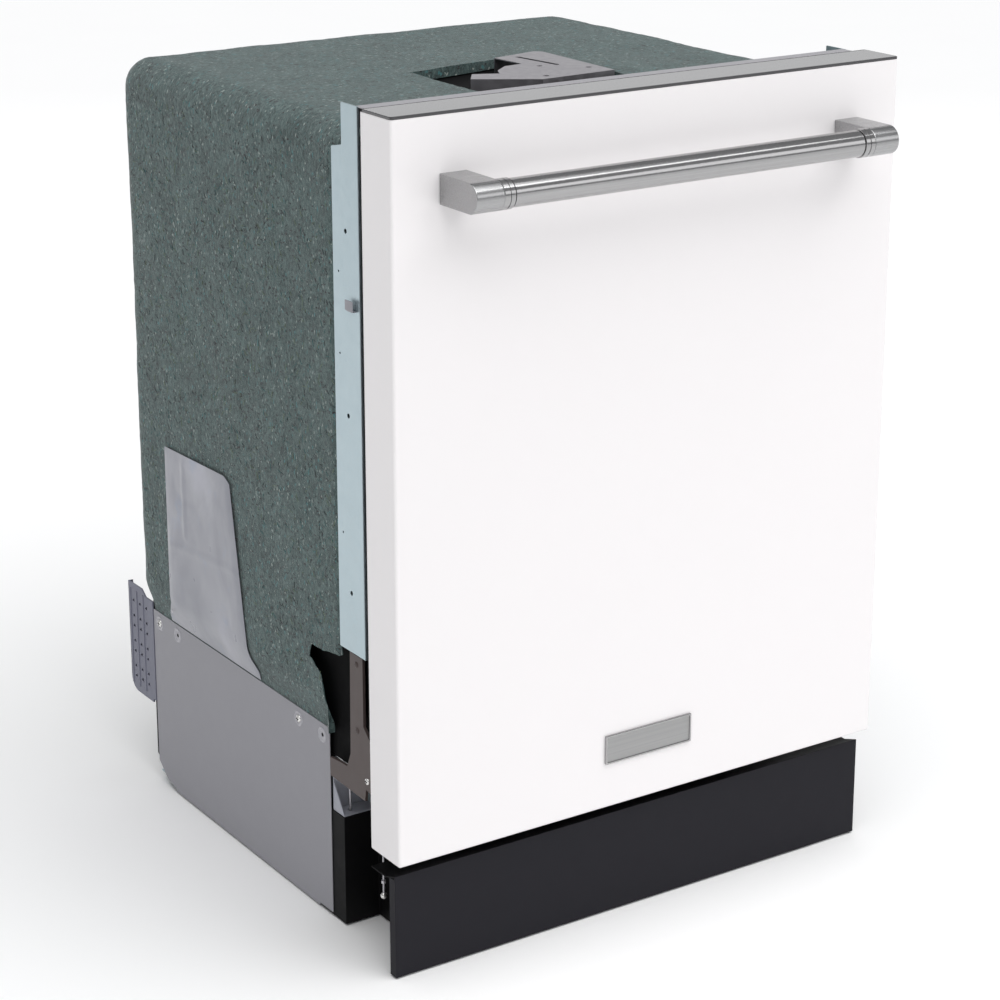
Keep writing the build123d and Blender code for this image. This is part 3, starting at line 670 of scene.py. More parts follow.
def build_stage():
    bm = bmesh.new()
    bmesh.ops.create_circle(bm, cap_ends=True, segments=96, radius=14)
    floor = from_bmesh("floor", bm)
    s = Shader("floor")
    s.colour(s.mix(s.noise(3, 2), (0.955, 0.955, 0.955), (0.97, 0.97, 0.97)))
    s.set(Roughness=0.8, Specular_IOR_Level=0.2)
    floor.data.materials.append(s.material)

    world = bpy.data.worlds.new("studio")
    world.use_nodes = True
    background = world.node_tree.nodes["Background"]
    background.inputs["Color"].default_value = (0.97, 0.98, 1, 1)
    background.inputs["Strength"].default_value = 0.34
    bpy.context.scene.world = world
    bpy.context.scene.view_settings.view_transform = "Standard"

    sky = bpy.data.lights.new("overhead", "SUN")
    sky.energy = 2.35
    sky.angle = math.radians(70)
    overhead = bpy.data.objects.new("overhead", sky)
    overhead.rotation_euler = Vector((0.02, 0.34, -0.94)).to_track_quat("-Z", "Y").to_euler()
    bpy.context.scene.collection.objects.link(overhead)

    area_light("back_panel", (2.2, 3.3, 2.1), (0, 0, 0.86), (4.4, 1.5), 9.5)
    area_light("front_box", (1.45, -2.55, 1.56), (0, FACE, 0.79), (2.4, 0.9), 9)
    area_light("high_strip", (1.2, -1.9, 3.1), (0, FACE, 0.79), (2.6, 0.25), 7)
    area_light("left_strip", (-3.2, -1.4, 1.2), (0, 0, 0.45), (0.5, 2.0), 1)


# ---------------------------------------------------------------- felt blanket

FELT_SPACING = 6 * MM
FELT_THICK = 12.4 * MM
FELT_CORNER = 33 * MM
TUCK_START = 0.252
TUCK_END = 0.211


def in_loop(u, v, loop):
    """Whether a point lies inside an outline."""
    inside = False
    for i, (u1, v1) in enumerate(loop):
        u0, v0 = loop[i - 1]
        if (v0 > v) != (v1 > v) and u < (u0 - u1) * (v - v1) / (v0 - v1) + u1:
            inside = not inside
    return inside


def nearest_on(u, v, loop):
    """The nearest point of an outline and its distance."""
    here, best, where = Vector((u, v)), 1e9, None
    for i, end in enumerate(loop):
        start, end = Vector(loop[i - 1]), Vector(end)
        span = end - start
        t = max(0, min(1, (here - start).dot(span) / max(span.length_squared, 1e-12)))
        point = start + span * t
        gap = (here - point).length
        if gap < best:
            best, where = gap, point
    return best, where


def ragged(loop, amount, seed, step=9 * MM):
    """An outline broken into short steps that wander by up to amount."""
    result = []
    for i, end in enumerate(loop):
        start, end = Vector(loop[i - 1]), Vector(end)
        count = max(1, round((end - start).length / step))
        for k in range(count):
            point = start.lerp(end, k / count)
            wander = noise.noise_vector(Vector((point.x * 90, point.y * 90, seed)))
            result.append((point.x + wander.x * amount, point.y + wander.y * amount))
    return result


def felt_openings():
    """The torn corner at the left front and the cut-out in the top, as outlines."""
    far_front, far_below = behind(60), 0.15
    torn = [
        (behind(122), 0.331), (behind(122), 0.306), (behind(160), 0.3005), (behind(183), 0.299),
        (behind(188), 0.285), (behind(166), 0.272), (behind(159), 0.252), (behind(152), 0.236),
        (behind(149), far_below),
        (far_front, far_below), (far_front, 0.331),
    ]
    cut = [
        (-0.084, behind(316)), (-0.088, behind(60)), (0.096, behind(60)),
        (0.096, behind(352)), (0.088, behind(352)), (0.002, behind(333)),
    ]
    return ragged(torn, 3.2 * MM, 3.0, 4 * MM), ragged(cut, 0.8 * MM, 7.0)


def felt_core():
    """The box whose rounded offset is the blanket's outer surface."""
    start, end = low("insulation_blanket"), high("insulation_blanket")
    lowest = Vector((start.x + FELT_CORNER, start.y - 1, -1))
    return lowest, Vector(value - FELT_CORNER for value in end)


def rounded(point, core):
    """The place and normal on the blanket's outer surface for a point of its box."""
    nearest = Vector(max(core[0][i], min(core[1][i], point[i])) for i in range(3))
    normal = (point - nearest).normalized()
    return nearest + normal * FELT_CORNER, normal


def felt_skin(core):
    """Both sides, the back and the top as one sheet of small squares."""
    start, end = low("insulation_blanket"), high("insulation_blanket")
    bm = bmesh.new()
    known = {}

    def steps(first, last):
        count = max(2, round((last - first) / FELT_SPACING))
        return [first + (last - first) * i / count for i in range(count + 1)]

    def vertex(point):
        place, _ = rounded(Vector(point), core)
        key = tuple(round(c * 20000) for c in place)
        if key not in known:
            known[key] = bm.verts.new(place)
        return known[key]

    def grid(points):
        for upper, lower in zip(points, points[1:]):
            for i in range(len(upper) - 1):
                around = [vertex(p) for p in (upper[i], upper[i + 1], lower[i + 1], lower[i])]
                around = list(dict.fromkeys(around))
                if len(around) > 2 and not bm.faces.get(around):
                    bm.faces.new(around)

    xs, zs = steps(start.x, end.x), steps(TUCK_END, end.z)
    top_ys, side_ys = steps(start.y, end.y), steps(behind(92), end.y)
    for side in (start.x, end.x):
        grid([[(side, y, z) for y in side_ys] for z in zs])
    grid([[(x, y, end.z) for y in top_ys] for x in xs])
    grid([[(x, end.y, z) for x in xs] for z in zs])
    bmesh.ops.remove_doubles(bm, verts=bm.verts, dist=0.3 * MM)
    return bm


def cut_felt(bm, torn, cut, flat_half, flat_top):
    """Take out the openings and pull the squares' edges onto their outlines."""
    doomed = []
    for face in bm.faces:
        middle = face.calc_center_median()
        on_left = middle.x < -flat_half and middle.z < 0.4
        by_hinge = abs(middle.x) > flat_half and middle.y < behind(122) and middle.z < 0.33
        in_tear = on_left and in_loop(middle.y, middle.z, torn)
        if in_tear or by_hinge or (middle.z > flat_top and in_loop(middle.x, middle.y, cut)):
            doomed.append(face)
    bmesh.ops.delete(bm, geom=doomed, context="FACES")
    reach = FELT_SPACING * 0.9
    for vert in bm.verts:
        if not vert.is_boundary:
            continue
        if vert.co.x < -flat_half and vert.co.z < 0.4:
            gap, where = nearest_on(vert.co.y, vert.co.z, torn)
            if gap < reach:
                vert.co.y, vert.co.z = where.x, where.y
        elif vert.co.z > flat_top:
            gap, where = nearest_on(vert.co.x, vert.co.y, cut)
            if gap < reach:
                vert.co.x, vert.co.y = where.x, where.y


def thicken_felt(bm, core, torn, flat_half):
    """Add the inner face; the blanket tucks in at the bottom and thins towards the tear."""
    bmesh.ops.recalc_face_normals(bm, faces=bm.faces)
    bm.normal_update()
    skin, faces = list(bm.verts), list(bm.faces)
    rim = [edge for edge in bm.edges if edge.is_boundary]
    inner = {}
    for vert in skin:
        _, normal = rounded(vert.co, core)
        squeeze = eased((TUCK_START - vert.co.z) / (TUCK_START - TUCK_END))
        outward = Vector((normal.x, normal.y, 0)) if squeeze else normal
        tuck = outward * (10.2 * MM * squeeze)
        thick = FELT_THICK
        if vert.co.x < -flat_half and vert.co.z < 0.36 and vert.co.y < behind(230):
            gap, _ = nearest_on(vert.co.y, vert.co.z, torn)
            thick = min(thick, 2.5 * MM + gap * 0.5)
        inner[vert] = bm.verts.new(vert.co - normal * thick)
        vert.co -= tuck
    for face in faces:
        bm.faces.new([inner[v] for v in reversed(face.verts)])
    for edge in rim:
        a, b = edge.verts
        bm.faces.new((a, b, inner[b], inner[a]))
    return skin


def soften_felt(skin, core, top):
    """Soft waves over the outer face, pressed in under the fixing strips and held flat at the hem."""
    for vert in skin:
        place = vert.co
        soft = noise.noise(place * 9) * 1.3 + noise.noise(place * 24 + Vector((5, 0, 0))) * 0.7
        fine = noise.noise(place * 120) * 0.35
        _, normal = rounded(place, core)
        calm = max(0.0, min(1.0, (place.z - TUCK_END) / (TUCK_START - TUCK_END)))
        pressed = 1.6 if place.y < behind(124) and place.z < top - 20 * MM else 0
        vert.co += normal * (soft * calm + fine * calm - 1.6 * calm - pressed) * MM


def build_felt():
    end = high("insulation_blanket")
    core = felt_core()
    torn, cut = felt_openings()
    flat_half = end.x - FELT_CORNER - FELT_SPACING
    bm = felt_skin(core)
    cut_felt(bm, torn, cut, flat_half, end.z - 2 * MM)
    skin = thicken_felt(bm, core, torn, flat_half)
    soften_felt(skin, core, end.z)
    blanket = from_bmesh("felt_blanket", bm, 60)
    strands = build_strands(blanket)
    blanket = assemble("felt_blanket", "cabinet", ["insulation_blanket"], [(blanket, FELT)], 60)
    assemble("felt_strands", "cabinet", [], strands, 60)


def build_strands(blanket):
    """Loose fibre ends caught in the surface of the felt."""
    draw = random.Random(17)
    spots = [f for f in blanket.data.polygons if f.normal.x < -0.7 or f.normal.z > 0.7]
    spots = [f for f in spots if f.center.z > TUCK_START and f.center.y > behind(100)]
    spots = [f for f in spots if f.center.x < -0.288 or f.center.z > TOP - 20 * MM]
    spots = [f for f in spots if f.center.z > 0.44 or not behind(300) < f.center.y < behind(516)]
    tints = ((0.16, 0.22, 0.13), (0.05, 0.17, 0.17), (0.012, 0.016, 0.018), (0.22, 0.29, 0.28))
    pieces = []
    for index, tint in enumerate(tints):
        runs = []
        for face in draw.sample(spots, min(len(spots), 420)):
            along = Vector((draw.uniform(-1, 1), draw.uniform(-1, 1), draw.uniform(-1, 1)))
            along = (along - face.normal * along.dot(face.normal)).normalized()
            length = draw.uniform(2, 6) * MM
            bow = face.normal.cross(along) * draw.uniform(-1.2, 1.2) * MM
            lift = face.normal * 0.5 * MM
            centre = Vector(face.center)
            runs.append([
                centre - along * length - lift, centre - along * length * 0.3 + bow + lift * 0.6,
                centre + along * length * 0.4 + bow * 0.6 + lift, centre + along * length - lift,
            ])
        pieces.append((wires("strands", runs, 0.24 * MM, 1), fibre_material(f"strand_{index}", tint)))
    return pieces


# ---------------------------------------------------------------- door outside

def build_door_shell():
    start, end = low("door_outer_panel"), high("door_outer_panel")
    panel = pan("door_skin", start, end, [(0, 1, 0), (0, 0, 1)], 3.0, 1.2)
    assemble("door_skin", "door", ["door_outer_panel"], [(panel, PAINT_WHITE)])

    top, bottom = high("control_strip").z, high("door_outer_panel").z
    start, end = low("control_strip"), high("control_strip")
    corner = 3 * MM
    outline = [(start.x, end.y), (start.x, start.y + corner)]
    outline += [(start.x + 0.9 * MM, start.y + 0.9 * MM), (start.x + corner, start.y)]
    outline += [(-x, y) for x, y in reversed(outline)]
    trim = 3 * MM
    outline = [(x, min(y, end.y - trim)) for x, y in outline]
    cap = sheet("strip_cap", [outline], "Z", bottom, top, 0.7)
    skirt_start = (start.x + 1.5 * MM, end.y - 2 * MM, start.z)
    rear = block("strip_rear", (start.x, end.y - trim, bottom), (end.x, end.y, top - 0.3 * MM), 0.4)
    skirt = block("strip_skirt", skirt_start, (end.x - 1.5 * MM, end.y, bottom), 0.4)
    assemble(
        "top_control_strip", "door", ["control_strip"],
        [(cap, GLOSS_BLACK), (skirt, BLACK_PLASTIC), (rear, BLACK_PLASTIC)],
    )


def build_handle():
    post_low, post_high = low("handle_posts"), high("handle_posts")
    radius = (post_high.z - post_low.z) / 2
    middle_z, middle_y = (post_high.z + post_low.z) / 2, post_low.y + radius
    outer, inner = post_low.x, low("handle_tube").x
    nose = arc(middle_y, middle_z, radius, 90, 270, 24)
    side = [(FACE, post_low.z), (FACE, post_high.z)]
    post = sheet("post", [nose + side], "X", outer, inner, 0.9)
    assemble("handle_ends", "door", ["handle_posts"], both_sides([(post, POST_STEEL)]))

    tube = 13.5 * MM
    collar = 12 * MM
    groove = 1.0 * MM
    soft = 0.5 * MM
    span = -inner
    half = [
        (0, tube), (span - collar - 1.2 * MM, tube), (span - collar - 1.0 * MM, tube - groove),
        (span - collar, tube - groove), (span - collar + 0.1 * MM, radius - soft),
        (span - collar + soft, radius), (span - 7 * MM, radius), (span - 6.8 * MM, radius - 0.6 * MM),
        (span - 5.8 * MM, radius - 0.6 * MM), (span - 5.6 * MM, radius), (span - soft, radius),
        (span, radius - soft),
    ]
    profile = [(-along, r) for along, r in reversed(half[1:])] + half[1:]
    bar = lathe("handle_bar", profile, "X", (0, middle_y, middle_z), 64)
    assemble("handle_bar", "door", ["handle_tube"], [(bar, BAR_STEEL)])


def build_badge():
    """A plain brushed plate with a raised rim."""
    start, end = low("badge_plate"), high("badge_plate")
    rim = 2 * MM
    corner = 1.2 * MM

    def frame_loop(inset):
        points = box_outline(start.x + inset, end.x - inset, start.z + inset, end.z - inset)
        return rounded_loop(points, corner)

    border = sheet("badge_rim", [frame_loop(0), frame_loop(rim)], "Y", start.y, FACE, 0.5)
    field = sheet("badge_field", [frame_loop(rim * 0.5)], "Y", start.y + 1.1 * MM, FACE, 0.1)
    pieces = [(border, BAR_STEEL), (field, BADGE_STEEL)]
    assemble("badge", "door", ["badge_plate"], pieces)


# ---------------------------------------------------------------- cabinet front frame

def build_front_frame():
    keep("tub_collar", BLACK_PLASTIC, 0.3)
    keep("head_rail", ZINC, 0.3)
    keep("top_bracket", BRACKET_STEEL, 0.3)


def build_strips():
    """Fixing strips with their front fold, round holes and a small spring clip."""
    start, end = low("side_strips"), high("side_strips")
    narrow, step_low, step_high = behind(101), 0.818, 0.822
    outline = [
        (start.y, start.z), (end.y, start.z), (end.y, step_low), (narrow, step_high),
        (narrow, end.z), (start.y, end.z),
    ]
    holes = [circle(behind(96), z, 2.4 * MM) for z in (0.381, 0.561, 0.741)]
    slots = [circle(behind(110), z, 1.2 * MM, 12) for z in (0.44, 0.62, 0.70)]
    out = -high("head_rail").x
    outside = start.x + 4.8 * MM
    strip = sheet("strip", [rounded_loop(outline, 1.5 * MM), *holes, *slots], "X", outside, out, 0.2)
    fold_end = (out + SHEET, start.y + SHEET, end.z)
    fold = block("strip_fold", (outside, start.y, start.z), fold_end, 0.3)
    # The clip is a bent wire stretched into a flat band
    hook = [(out, 0.6666), (start.x + 0.7 * MM, 0.6666), (start.x + 0.7 * MM, 0.677)]
    clip_y, band = behind(85), 12
    path = bent([(x, clip_y, z) for x, z in hook], 1.5 * MM, 4)
    clip = wires("strip_clip", [path], 0.6 * MM)
    for vert in clip.data.vertices:
        vert.co.y = clip_y + (vert.co.y - clip_y) * band
    pieces = [(strip, GALVANISED), (fold, GALVANISED), (clip, GREY_PAINT)]
    assemble("fixing_strips", "cabinet", ["side_strips"], both_sides(pieces))


def build_seal():
    start, end = low("door_gasket"), high("door_gasket")
    bulb = (end.y - start.y) / 2 - 0.1 * MM
    inset = bulb + 0.2 * MM
    middle = (start.y + end.y) / 2
    route = bent([
        (start.x + inset, middle, start.z), (start.x + inset, middle, end.z - inset),
        (end.x - inset, middle, end.z - inset), (end.x - inset, middle, start.z),
    ], 26 * MM, 10)
    seal = wires("seal_bulb", [route], bulb)
    lip_route = [(x * 0.986, middle - 1.2 * MM, z - 1.5 * MM) for x, _, z in route]
    lip_route = [(x, y, max(z, start.z)) for x, y, z in lip_route]
    lip = wires("seal_lip", [lip_route], 1.4 * MM)
    assemble("door_seal", "cabinet", ["door_gasket"], [(seal, RUBBER), (lip, RUBBER)], 60)


# ---------------------------------------------------------------- breather cover

def patch(outline, spacing):
    """A flat grid cut to an outline, as points, faces and rim; coordinates are (u, v)."""
    us, vs = [u for u, _ in outline], [v for _, v in outline]
    columns = max(2, round((max(us) - min(us)) / spacing))
    rows = max(2, round((max(vs) - min(vs)) / spacing))
    bm = bmesh.new()
    grid = []
    for row in range(rows + 1):
        v = min(vs) + (max(vs) - min(vs)) * row / rows
        line = [min(us) + (max(us) - min(us)) * column / columns for column in range(columns + 1)]
        grid.append([bm.verts.new((0, u, v)) for u in line])
    for lower, upper in zip(grid, grid[1:]):
        for i in range(columns):
            corners = (lower[i], lower[i + 1], upper[i + 1], upper[i])
            middle = sum((vert.co for vert in corners), Vector()) / 4
            if in_loop(middle.y, middle.z, outline):
                bm.faces.new(corners)
    bmesh.ops.delete(bm, geom=[v for v in bm.verts if not v.link_faces], context="VERTS")
    for vert in bm.verts:
        if vert.is_boundary:
            _, where = nearest_on(vert.co.y, vert.co.z, outline)
            vert.co.y, vert.co.z = where.x, where.y
    return bm


def build_breather():
    """A clouded film over the drying vent: a loose, slightly creased sheet with welded edges."""
    corners = [
        (306, 214), (306, 224), (315, 236), (346, 422), (358, 428),
        (495, 424), (495, 243), (512, 223), (512, 214),
    ]
    outline = [(behind(depth), z * MM) for depth, z in corners]
    bm = patch(outline, 3 * MM)
    out = low("breather_cover").x
    for vert in bm.verts:
        edge, _ = nearest_on(vert.co.y, vert.co.z, outline)
        slack = min(1, edge / (9 * MM))
        here = Vector((0, vert.co.y, vert.co.z))
        crease = abs(noise.noise(here * 26)) * 1.3 + abs(noise.noise(here * 11 + Vector((3, 0, 0)))) * 2.2
        rib = 1.3 * math.exp(-(((vert.co.z - 0.322 + 0.10 * (vert.co.y - FACE - 0.4)) / 0.004) ** 2))
        if vert.co.z > 0.33:
            rib += 1.0 * math.exp(-(((vert.co.y - behind(452)) / 0.0035) ** 2))
        tucked = eased((TUCK_START - vert.co.z) / (TUCK_START - TUCK_END))
        vert.co.x = out + (0.4 - slack * (crease * 0.8 + rib) + 10 * tucked) * MM
    film = from_bmesh("film", bm, 60)
    shell = film.modifiers.new("shell", "SOLIDIFY")
    shell.thickness = 0.5 * MM
    shell.offset = 0
    film = applied(film)
    rivet = lathe("rivet", domed(2.2 * MM, 1.0, 4, 0.1), "X", (out + 2.2 * MM, behind(494), 232 * MM), 20)
    pieces = [(film, FILM), (rivet, ZINC)]
    assemble("vent_cover", "cabinet", ["breather_cover"], pieces, 60)


# ---------------------------------------------------------------- base

def build_base():
    keep("base_frame", BLACK_PLASTIC, 0.8)
    keep("drip_pan", GALVANISED, 0.3)
    start, end = low("side_panels"), high("side_panels")
    outside, inside = start.x, start.x + MM
    front, back, lip_top = behind(163), behind(560), 5 * MM
    outline = [
        (front, lip_top), (front, end.z), (back, end.z), (back, 26 * MM),
        (behind(540), 10 * MM), (behind(520), lip_top),
    ]
    dimples = [(behind(depth), SCREW_Z) for depth in (178, 227, 501, 545)]
    holes = [circle(y, z, 8.6 * MM) for y, z in dimples]
    panel = sheet("panel", [rounded_loop(outline, 1.5 * MM), *holes], "X", outside, inside, 0.3)
    lip = block("panel_lip", (outside + 0.2 * MM, behind(190), start.z), (inside, behind(518), lip_top), 0.2)
    pieces = [(panel, GREY_PAINT), (lip, GREY_PAINT)]
    dish = [
        (0.95, 0.2), (0.95, 8.8), (0, 8.8), (-0.5, 8.3), (-0.75, 7.4), (-0.55, 6.4), (0.1, 4.9),
        (0.35, 4.2), (0.35, 2.3), (0.8, 2.2),
    ]
    profile = in_metres(dish)
    for y, z in dimples:
        # Each dimple takes the lighter grey as painted highlight.
        pieces.append((lathe("dimple", profile, "X", (outside, y, z), 32), DIMPLE_HIGHLIGHT_PAINT))
        # A black disc closes the dimple's centre hole: painted shade for the dark inside.
        hole = lathe("hole", [(0, 2.1 * MM), (0.1 * MM, 2.1 * MM)], "X", (outside + 0.62 * MM, y, z), 20)
        pieces.append((hole, BITUMEN))
    assemble("base_side_panels", "cabinet", ["side_panels"], both_sides(pieces))

    screws = []
    for depth in (227, 545):
        screws += cross_screw("screw", (outside + 0.2 * MM, behind(depth), SCREW_Z), 4.3 * MM)
    assemble("panel_screws_cross", "cabinet", ["panel_screws"], both_sides(screws))


def build_vents():
    start, end = low("vent_spacers"), high("vent_spacers")
    outside, inside = start.x, start.x + 2 * MM
    corner = 16 * MM
    front, step = behind(560.6), behind(567)
    outline = [(front, 0.099), (step, 0.099), (step, start.z), (end.y - corner, start.z)]
    outline += arc(end.y - corner, start.z + corner, corner, -90, 0, 7)[1:]
    outline += [(end.y, end.z), (behind(588), end.z), (behind(578), 0.220), (front, 0.220)]
    slots, ribs = [], []
    for column in range(3):
        y0 = behind(575 + 16 * column)
        for row in range(7):
            z0 = 0.112 + (0.0125 if row % 2 else 0.0) + 0.031 * (row // 2)
            slots.append([(y0, z0), (y0 + 5 * MM, z0), (y0 + 5 * MM, z0 + 1.4 * MM), (y0 + MM, z0 + 4 * MM)])
        rib_start = (outside - 0.9 * MM, y0 + 8.5 * MM, start.z + 8 * MM)
        rib_end = (outside + 0.5 * MM, y0 + 11.5 * MM, end.z - 7 * MM)
        ribs.append((block("rib", rib_start, rib_end, 0.5), GREY_PLASTIC))
    plate = sheet("vent_plate", [outline, *slots], "X", outside, inside, 0.3)
    # A black plate just behind the slotted plate: painted shade, so the slots read dark.
    backing_end = (inside + 0.8 * MM, end.y - 4 * MM, 0.215)
    backing = block("vent_shade_backing", (inside, behind(569), 0.104), backing_end, 0.2)
    edge = block("vent_edge", (outside, end.y - 1.6 * MM, 0.112), (outside + 6 * MM, end.y, end.z), 0.5)
    pieces = [(plate, GREY_PLASTIC), (edge, GREY_PLASTIC), (backing, BLACK_PLASTIC), *ribs]
    assemble("rear_vents", "cabinet", ["vent_spacers"], both_sides(pieces))


def build_toe_kick():
    start, end = low("toe_kick"), high("toe_kick")
    face = block("kick_face", start, (end.x, start.y + SHEET, end.z), 0.4)
    lip_z = 105.8 * MM
    lip = sheet("kick_lip_shade", [[
        (start.y + 0.2 * MM, end.z - 0.2 * MM), (start.y + 1.4 * MM, end.z - 0.2 * MM), (behind(34), lip_z),
        (behind(60), lip_z), (behind(60), lip_z - 1.2 * MM), (behind(33.5), lip_z - 1.2 * MM),
        (start.y + 0.2 * MM, end.z - 1.4 * MM),
    ]], "X", start.x, end.x, 0.3)
    fold_end = (start.x + SHEET, behind(26), 108 * MM)
    fold = block("kick_fold", (start.x, start.y + 0.6 * MM, start.z), fold_end, 0.4)
    hook_start = (-0.2412, start.y + SHEET, 0.024)
    hook = block("kick_hook", hook_start, (-0.240, behind(60), 0.084), 0.3)
    screw = cross_screw("kick_screw", (-0.2412, behind(48), 0.054), 3.2 * MM, 1.4)
    # The lip is the kick's own fold but takes black plastic, not the kick's paint: painted shade under the
    # door's bottom edge.
    pieces = [(face, KICK_PAINT), (lip, BLACK_PLASTIC)]
    pieces += both_sides([(fold, KICK_PAINT), (hook, KICK_PAINT), *screw])
    assemble("toe_kick_panel", "cabinet", ["toe_kick"], pieces)


def build_feet():
    for where in ("front_left", "front_right", "rear_left", "rear_right"):
        node = "foot_" + where
        start, end = low(node), high(node)
        x, y = (start.x + end.x) / 2, (start.y + end.y) / 2
        pad = (end.x - start.x) / 2
        soft = [
            (0, pad - 2 * MM), (1.2 * MM, pad - 0.3 * MM), (2.4 * MM, pad), (5.4 * MM, pad),
            (6.6 * MM, pad - 1 * MM), (7 * MM, pad - 3 * MM), (7.2 * MM, 6 * MM),
        ]
        base = lathe(node + "_pad", soft, "Z", (x, y, 0), 40)
        nut = lathe(node + "_nut", [(0, 7.5 * MM), (5 * MM, 7.5 * MM)], "Z", (x, y, 7 * MM), 6, 20)
        thread = []
        stem, pitch = 5 * MM, 1.5 * MM
        thread_start = 12 * MM
        for i in range(int((end.z - thread_start) / pitch)):
            z = thread_start + i * pitch
            thread += [(z, stem - 0.5 * MM), (z + pitch * 0.45, stem)]
        thread.append((end.z, stem - 0.6 * MM))
        stud = lathe(node + "_stud", thread, "Z", (x, y, 0), 20)
        pieces = [(base, BLACK_PLASTIC), (nut, ZINC), (stud, ZINC)]
        assemble("level" + node, node, [node], pieces)


# ---------------------------------------------------------------- door hinge and springs

def build_hinges():
    keep("hinge_brackets", BRONZE, 0.35)
    keep("hinge_pins", ZINC, 0.5)
    keep("hinge_arms", ZINC, 0.4)
    keep("corner_brackets", DULL_ZINC, 0.3)
    out = low("hinge_brackets").x
    screws = []
    for z in (0.236, 0.306):
        dull = cross_screw("hinge_screw", (out, behind(95), z), 3.2 * MM, 1.2)
        screws += [(obj, BRONZE) for obj, _ in dull]
    screws += cross_screw("hinge_screw", (out, behind(77), 0.188), 3.6 * MM, 1.6)
    assemble("hinge_screws", "cabinet", [], both_sides(screws))

    coil_x, coil_y = -266 * MM, behind(149.5)
    turns, wire_radius, coil_radius = 38, 1.0 * MM, 6.0 * MM
    bottom, top = 27 * MM, 111 * MM
    route = []
    steps = turns * 16
    for i in range(steps + 1):
        angle = 2 * math.pi * i / 16
        z = bottom + wire_radius + (top - bottom - 2 * wire_radius) * i / steps
        route.append((coil_x + coil_radius * math.cos(angle), coil_y + coil_radius * math.sin(angle), z))
    coil = wires("coil", [route], wire_radius, 2)
    rod_top = 178 * MM
    hook = bent([
        (coil_x, coil_y, top - 4 * MM), (coil_x, coil_y, rod_top), (-282.5 * MM, coil_y, rod_top),
    ], 4 * MM)
    tail = bent([
        (coil_x + coil_radius, coil_y, top - MM), (coil_x, coil_y, top - MM), (coil_x, coil_y, top + 4 * MM),
    ], 2 * MM)
    links = wires("spring_links", [hook, tail], 1.5 * MM)
    adjuster_x, adjuster_y = -270 * MM, behind(78.5)
    line = [(adjuster_x, adjuster_y, 60 * MM), (adjuster_x, adjuster_y, 176 * MM)]
    adjuster = wires("adjuster", [line], 1.0 * MM)
    ball = []
    for step in range(13):
        angle = -math.pi / 2 + math.pi * step / 12
        ball.append((3.5 * MM * math.sin(angle), max(0.1 * MM, 3.5 * MM * math.cos(angle))))
    knob = lathe("adjuster_ball", ball, "Z", (adjuster_x, adjuster_y, 58 * MM), 24)
    nut_place = (adjuster_x, adjuster_y, 72 * MM)
    nut = lathe("adjuster_nut", in_metres([(0, 2.6), (3, 2.6)]), "Z", nut_place, 6, 20)
    pieces = [(coil, ZINC), (links, ZINC), (adjuster, ZINC), (knob, ZINC_BRIGHT), (nut, ZINC)]
    assemble("balance_springs", "cabinet", ["door_springs"], both_sides(pieces), 60)


# ---------------------------------------------------------------- tub

def build_tub():
    """The wrap: bitumen-coated outside, stainless with shallow embossing inside."""
    start, end = low("tub_wrap"), high("tub_wrap")
    thick, corner = 1.2 * MM, 28 * MM

    def arch_path(inset):
        half, top, radius = end.x - inset, end.z - inset, corner - inset
        path = [(-half, start.z + (top - radius - start.z) * i / 90) for i in range(91)]
        for i in range(1, 8):
            angle = math.pi - math.pi / 2 * i / 8
            path.append((-half + radius + radius * math.cos(angle), top - radius + radius * math.sin(angle)))
        path += [(-half + radius + (half - radius) * i / 30, top) for i in range(30)]
        return path + [(0, top)] + [(-x, z) for x, z in reversed(path)]

    outer, inner = arch_path(0), arch_path(thick)
    rows = 60
    depths = [start.y + (end.y - start.y) * i / rows for i in range(rows + 1)]

    def plateau(value, first, last, ramp):
        return eased(min(value - first, last - value) / ramp)

    def emboss(y, z):
        bands = plateau(z, 0.36, 0.47, 0.006) + plateau(z, 0.62, 0.70, 0.006)
        return bands * plateau(y, depths[0] + 0.05, depths[-1] - 0.05, 0.008) * 1.6 * MM

    bm = bmesh.new()

    def skin(path, pushed):
        grid = []
        for y in depths:
            line = []
            for x, z in path:
                push = emboss(y, z) if pushed and abs(x) > end.x - 2 * MM else 0
                line.append(bm.verts.new((x - math.copysign(push, x), y, z)))
            grid.append(line)
        return grid

    outside, inside = skin(outer, False), skin(inner, True)
    for grid, index in ((outside, 0), (inside, 1)):
        for lower, upper in zip(grid, grid[1:]):
            for i in range(len(lower) - 1):
                bm.faces.new((lower[i], lower[i + 1], upper[i + 1], upper[i])).material_index = index
    for row in (0, -1):
        for i in range(len(outer) - 1):
            corners = (outside[row][i], outside[row][i + 1], inside[row][i + 1], inside[row][i])
            bm.faces.new(corners).material_index = 1
    for column in (0, -1):
        for row in range(rows):
            corners = (
                outside[row][column], outside[row + 1][column], inside[row + 1][column], inside[row][column],
            )
            bm.faces.new(corners).material_index = 1
    wrap = from_bmesh("tub_shell", bm)
    wrap.data.materials.append(BITUMEN)
    wrap.data.materials.append(STAINLESS)
    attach(wrap, "cabinet")
    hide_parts("tub_wrap")
    keep("tub_back", STAINLESS, 0.4)
    keep("tub_floor", STAINLESS, 0.5)
    keep("door_strike", ZINC, 0.5)
    keep("rack_rails", STAINLESS, 1.0)


# ---------------------------------------------------------------- water system

def turned(node, profile, axis, centre, material, name, body, extras=()):
    shape = lathe(name, in_metres(profile), axis, centre)
    return assemble(name, body, [node], [(shape, material), *extras])


def fins(x_first, x_last, count, radius):
    """Cooling ribs round a motor, as a profile."""
    profile = []
    pitch = (x_last - x_first) / count
    for i in range(count):
        x = x_first + i * pitch
        profile += [(x, radius - 1.5), (x + pitch * 0.4, radius - 1.5)]
        profile += [(x + pitch * 0.5, radius), (x + pitch * 0.9, radius)]
    return profile + [(x_last, radius - 2)]


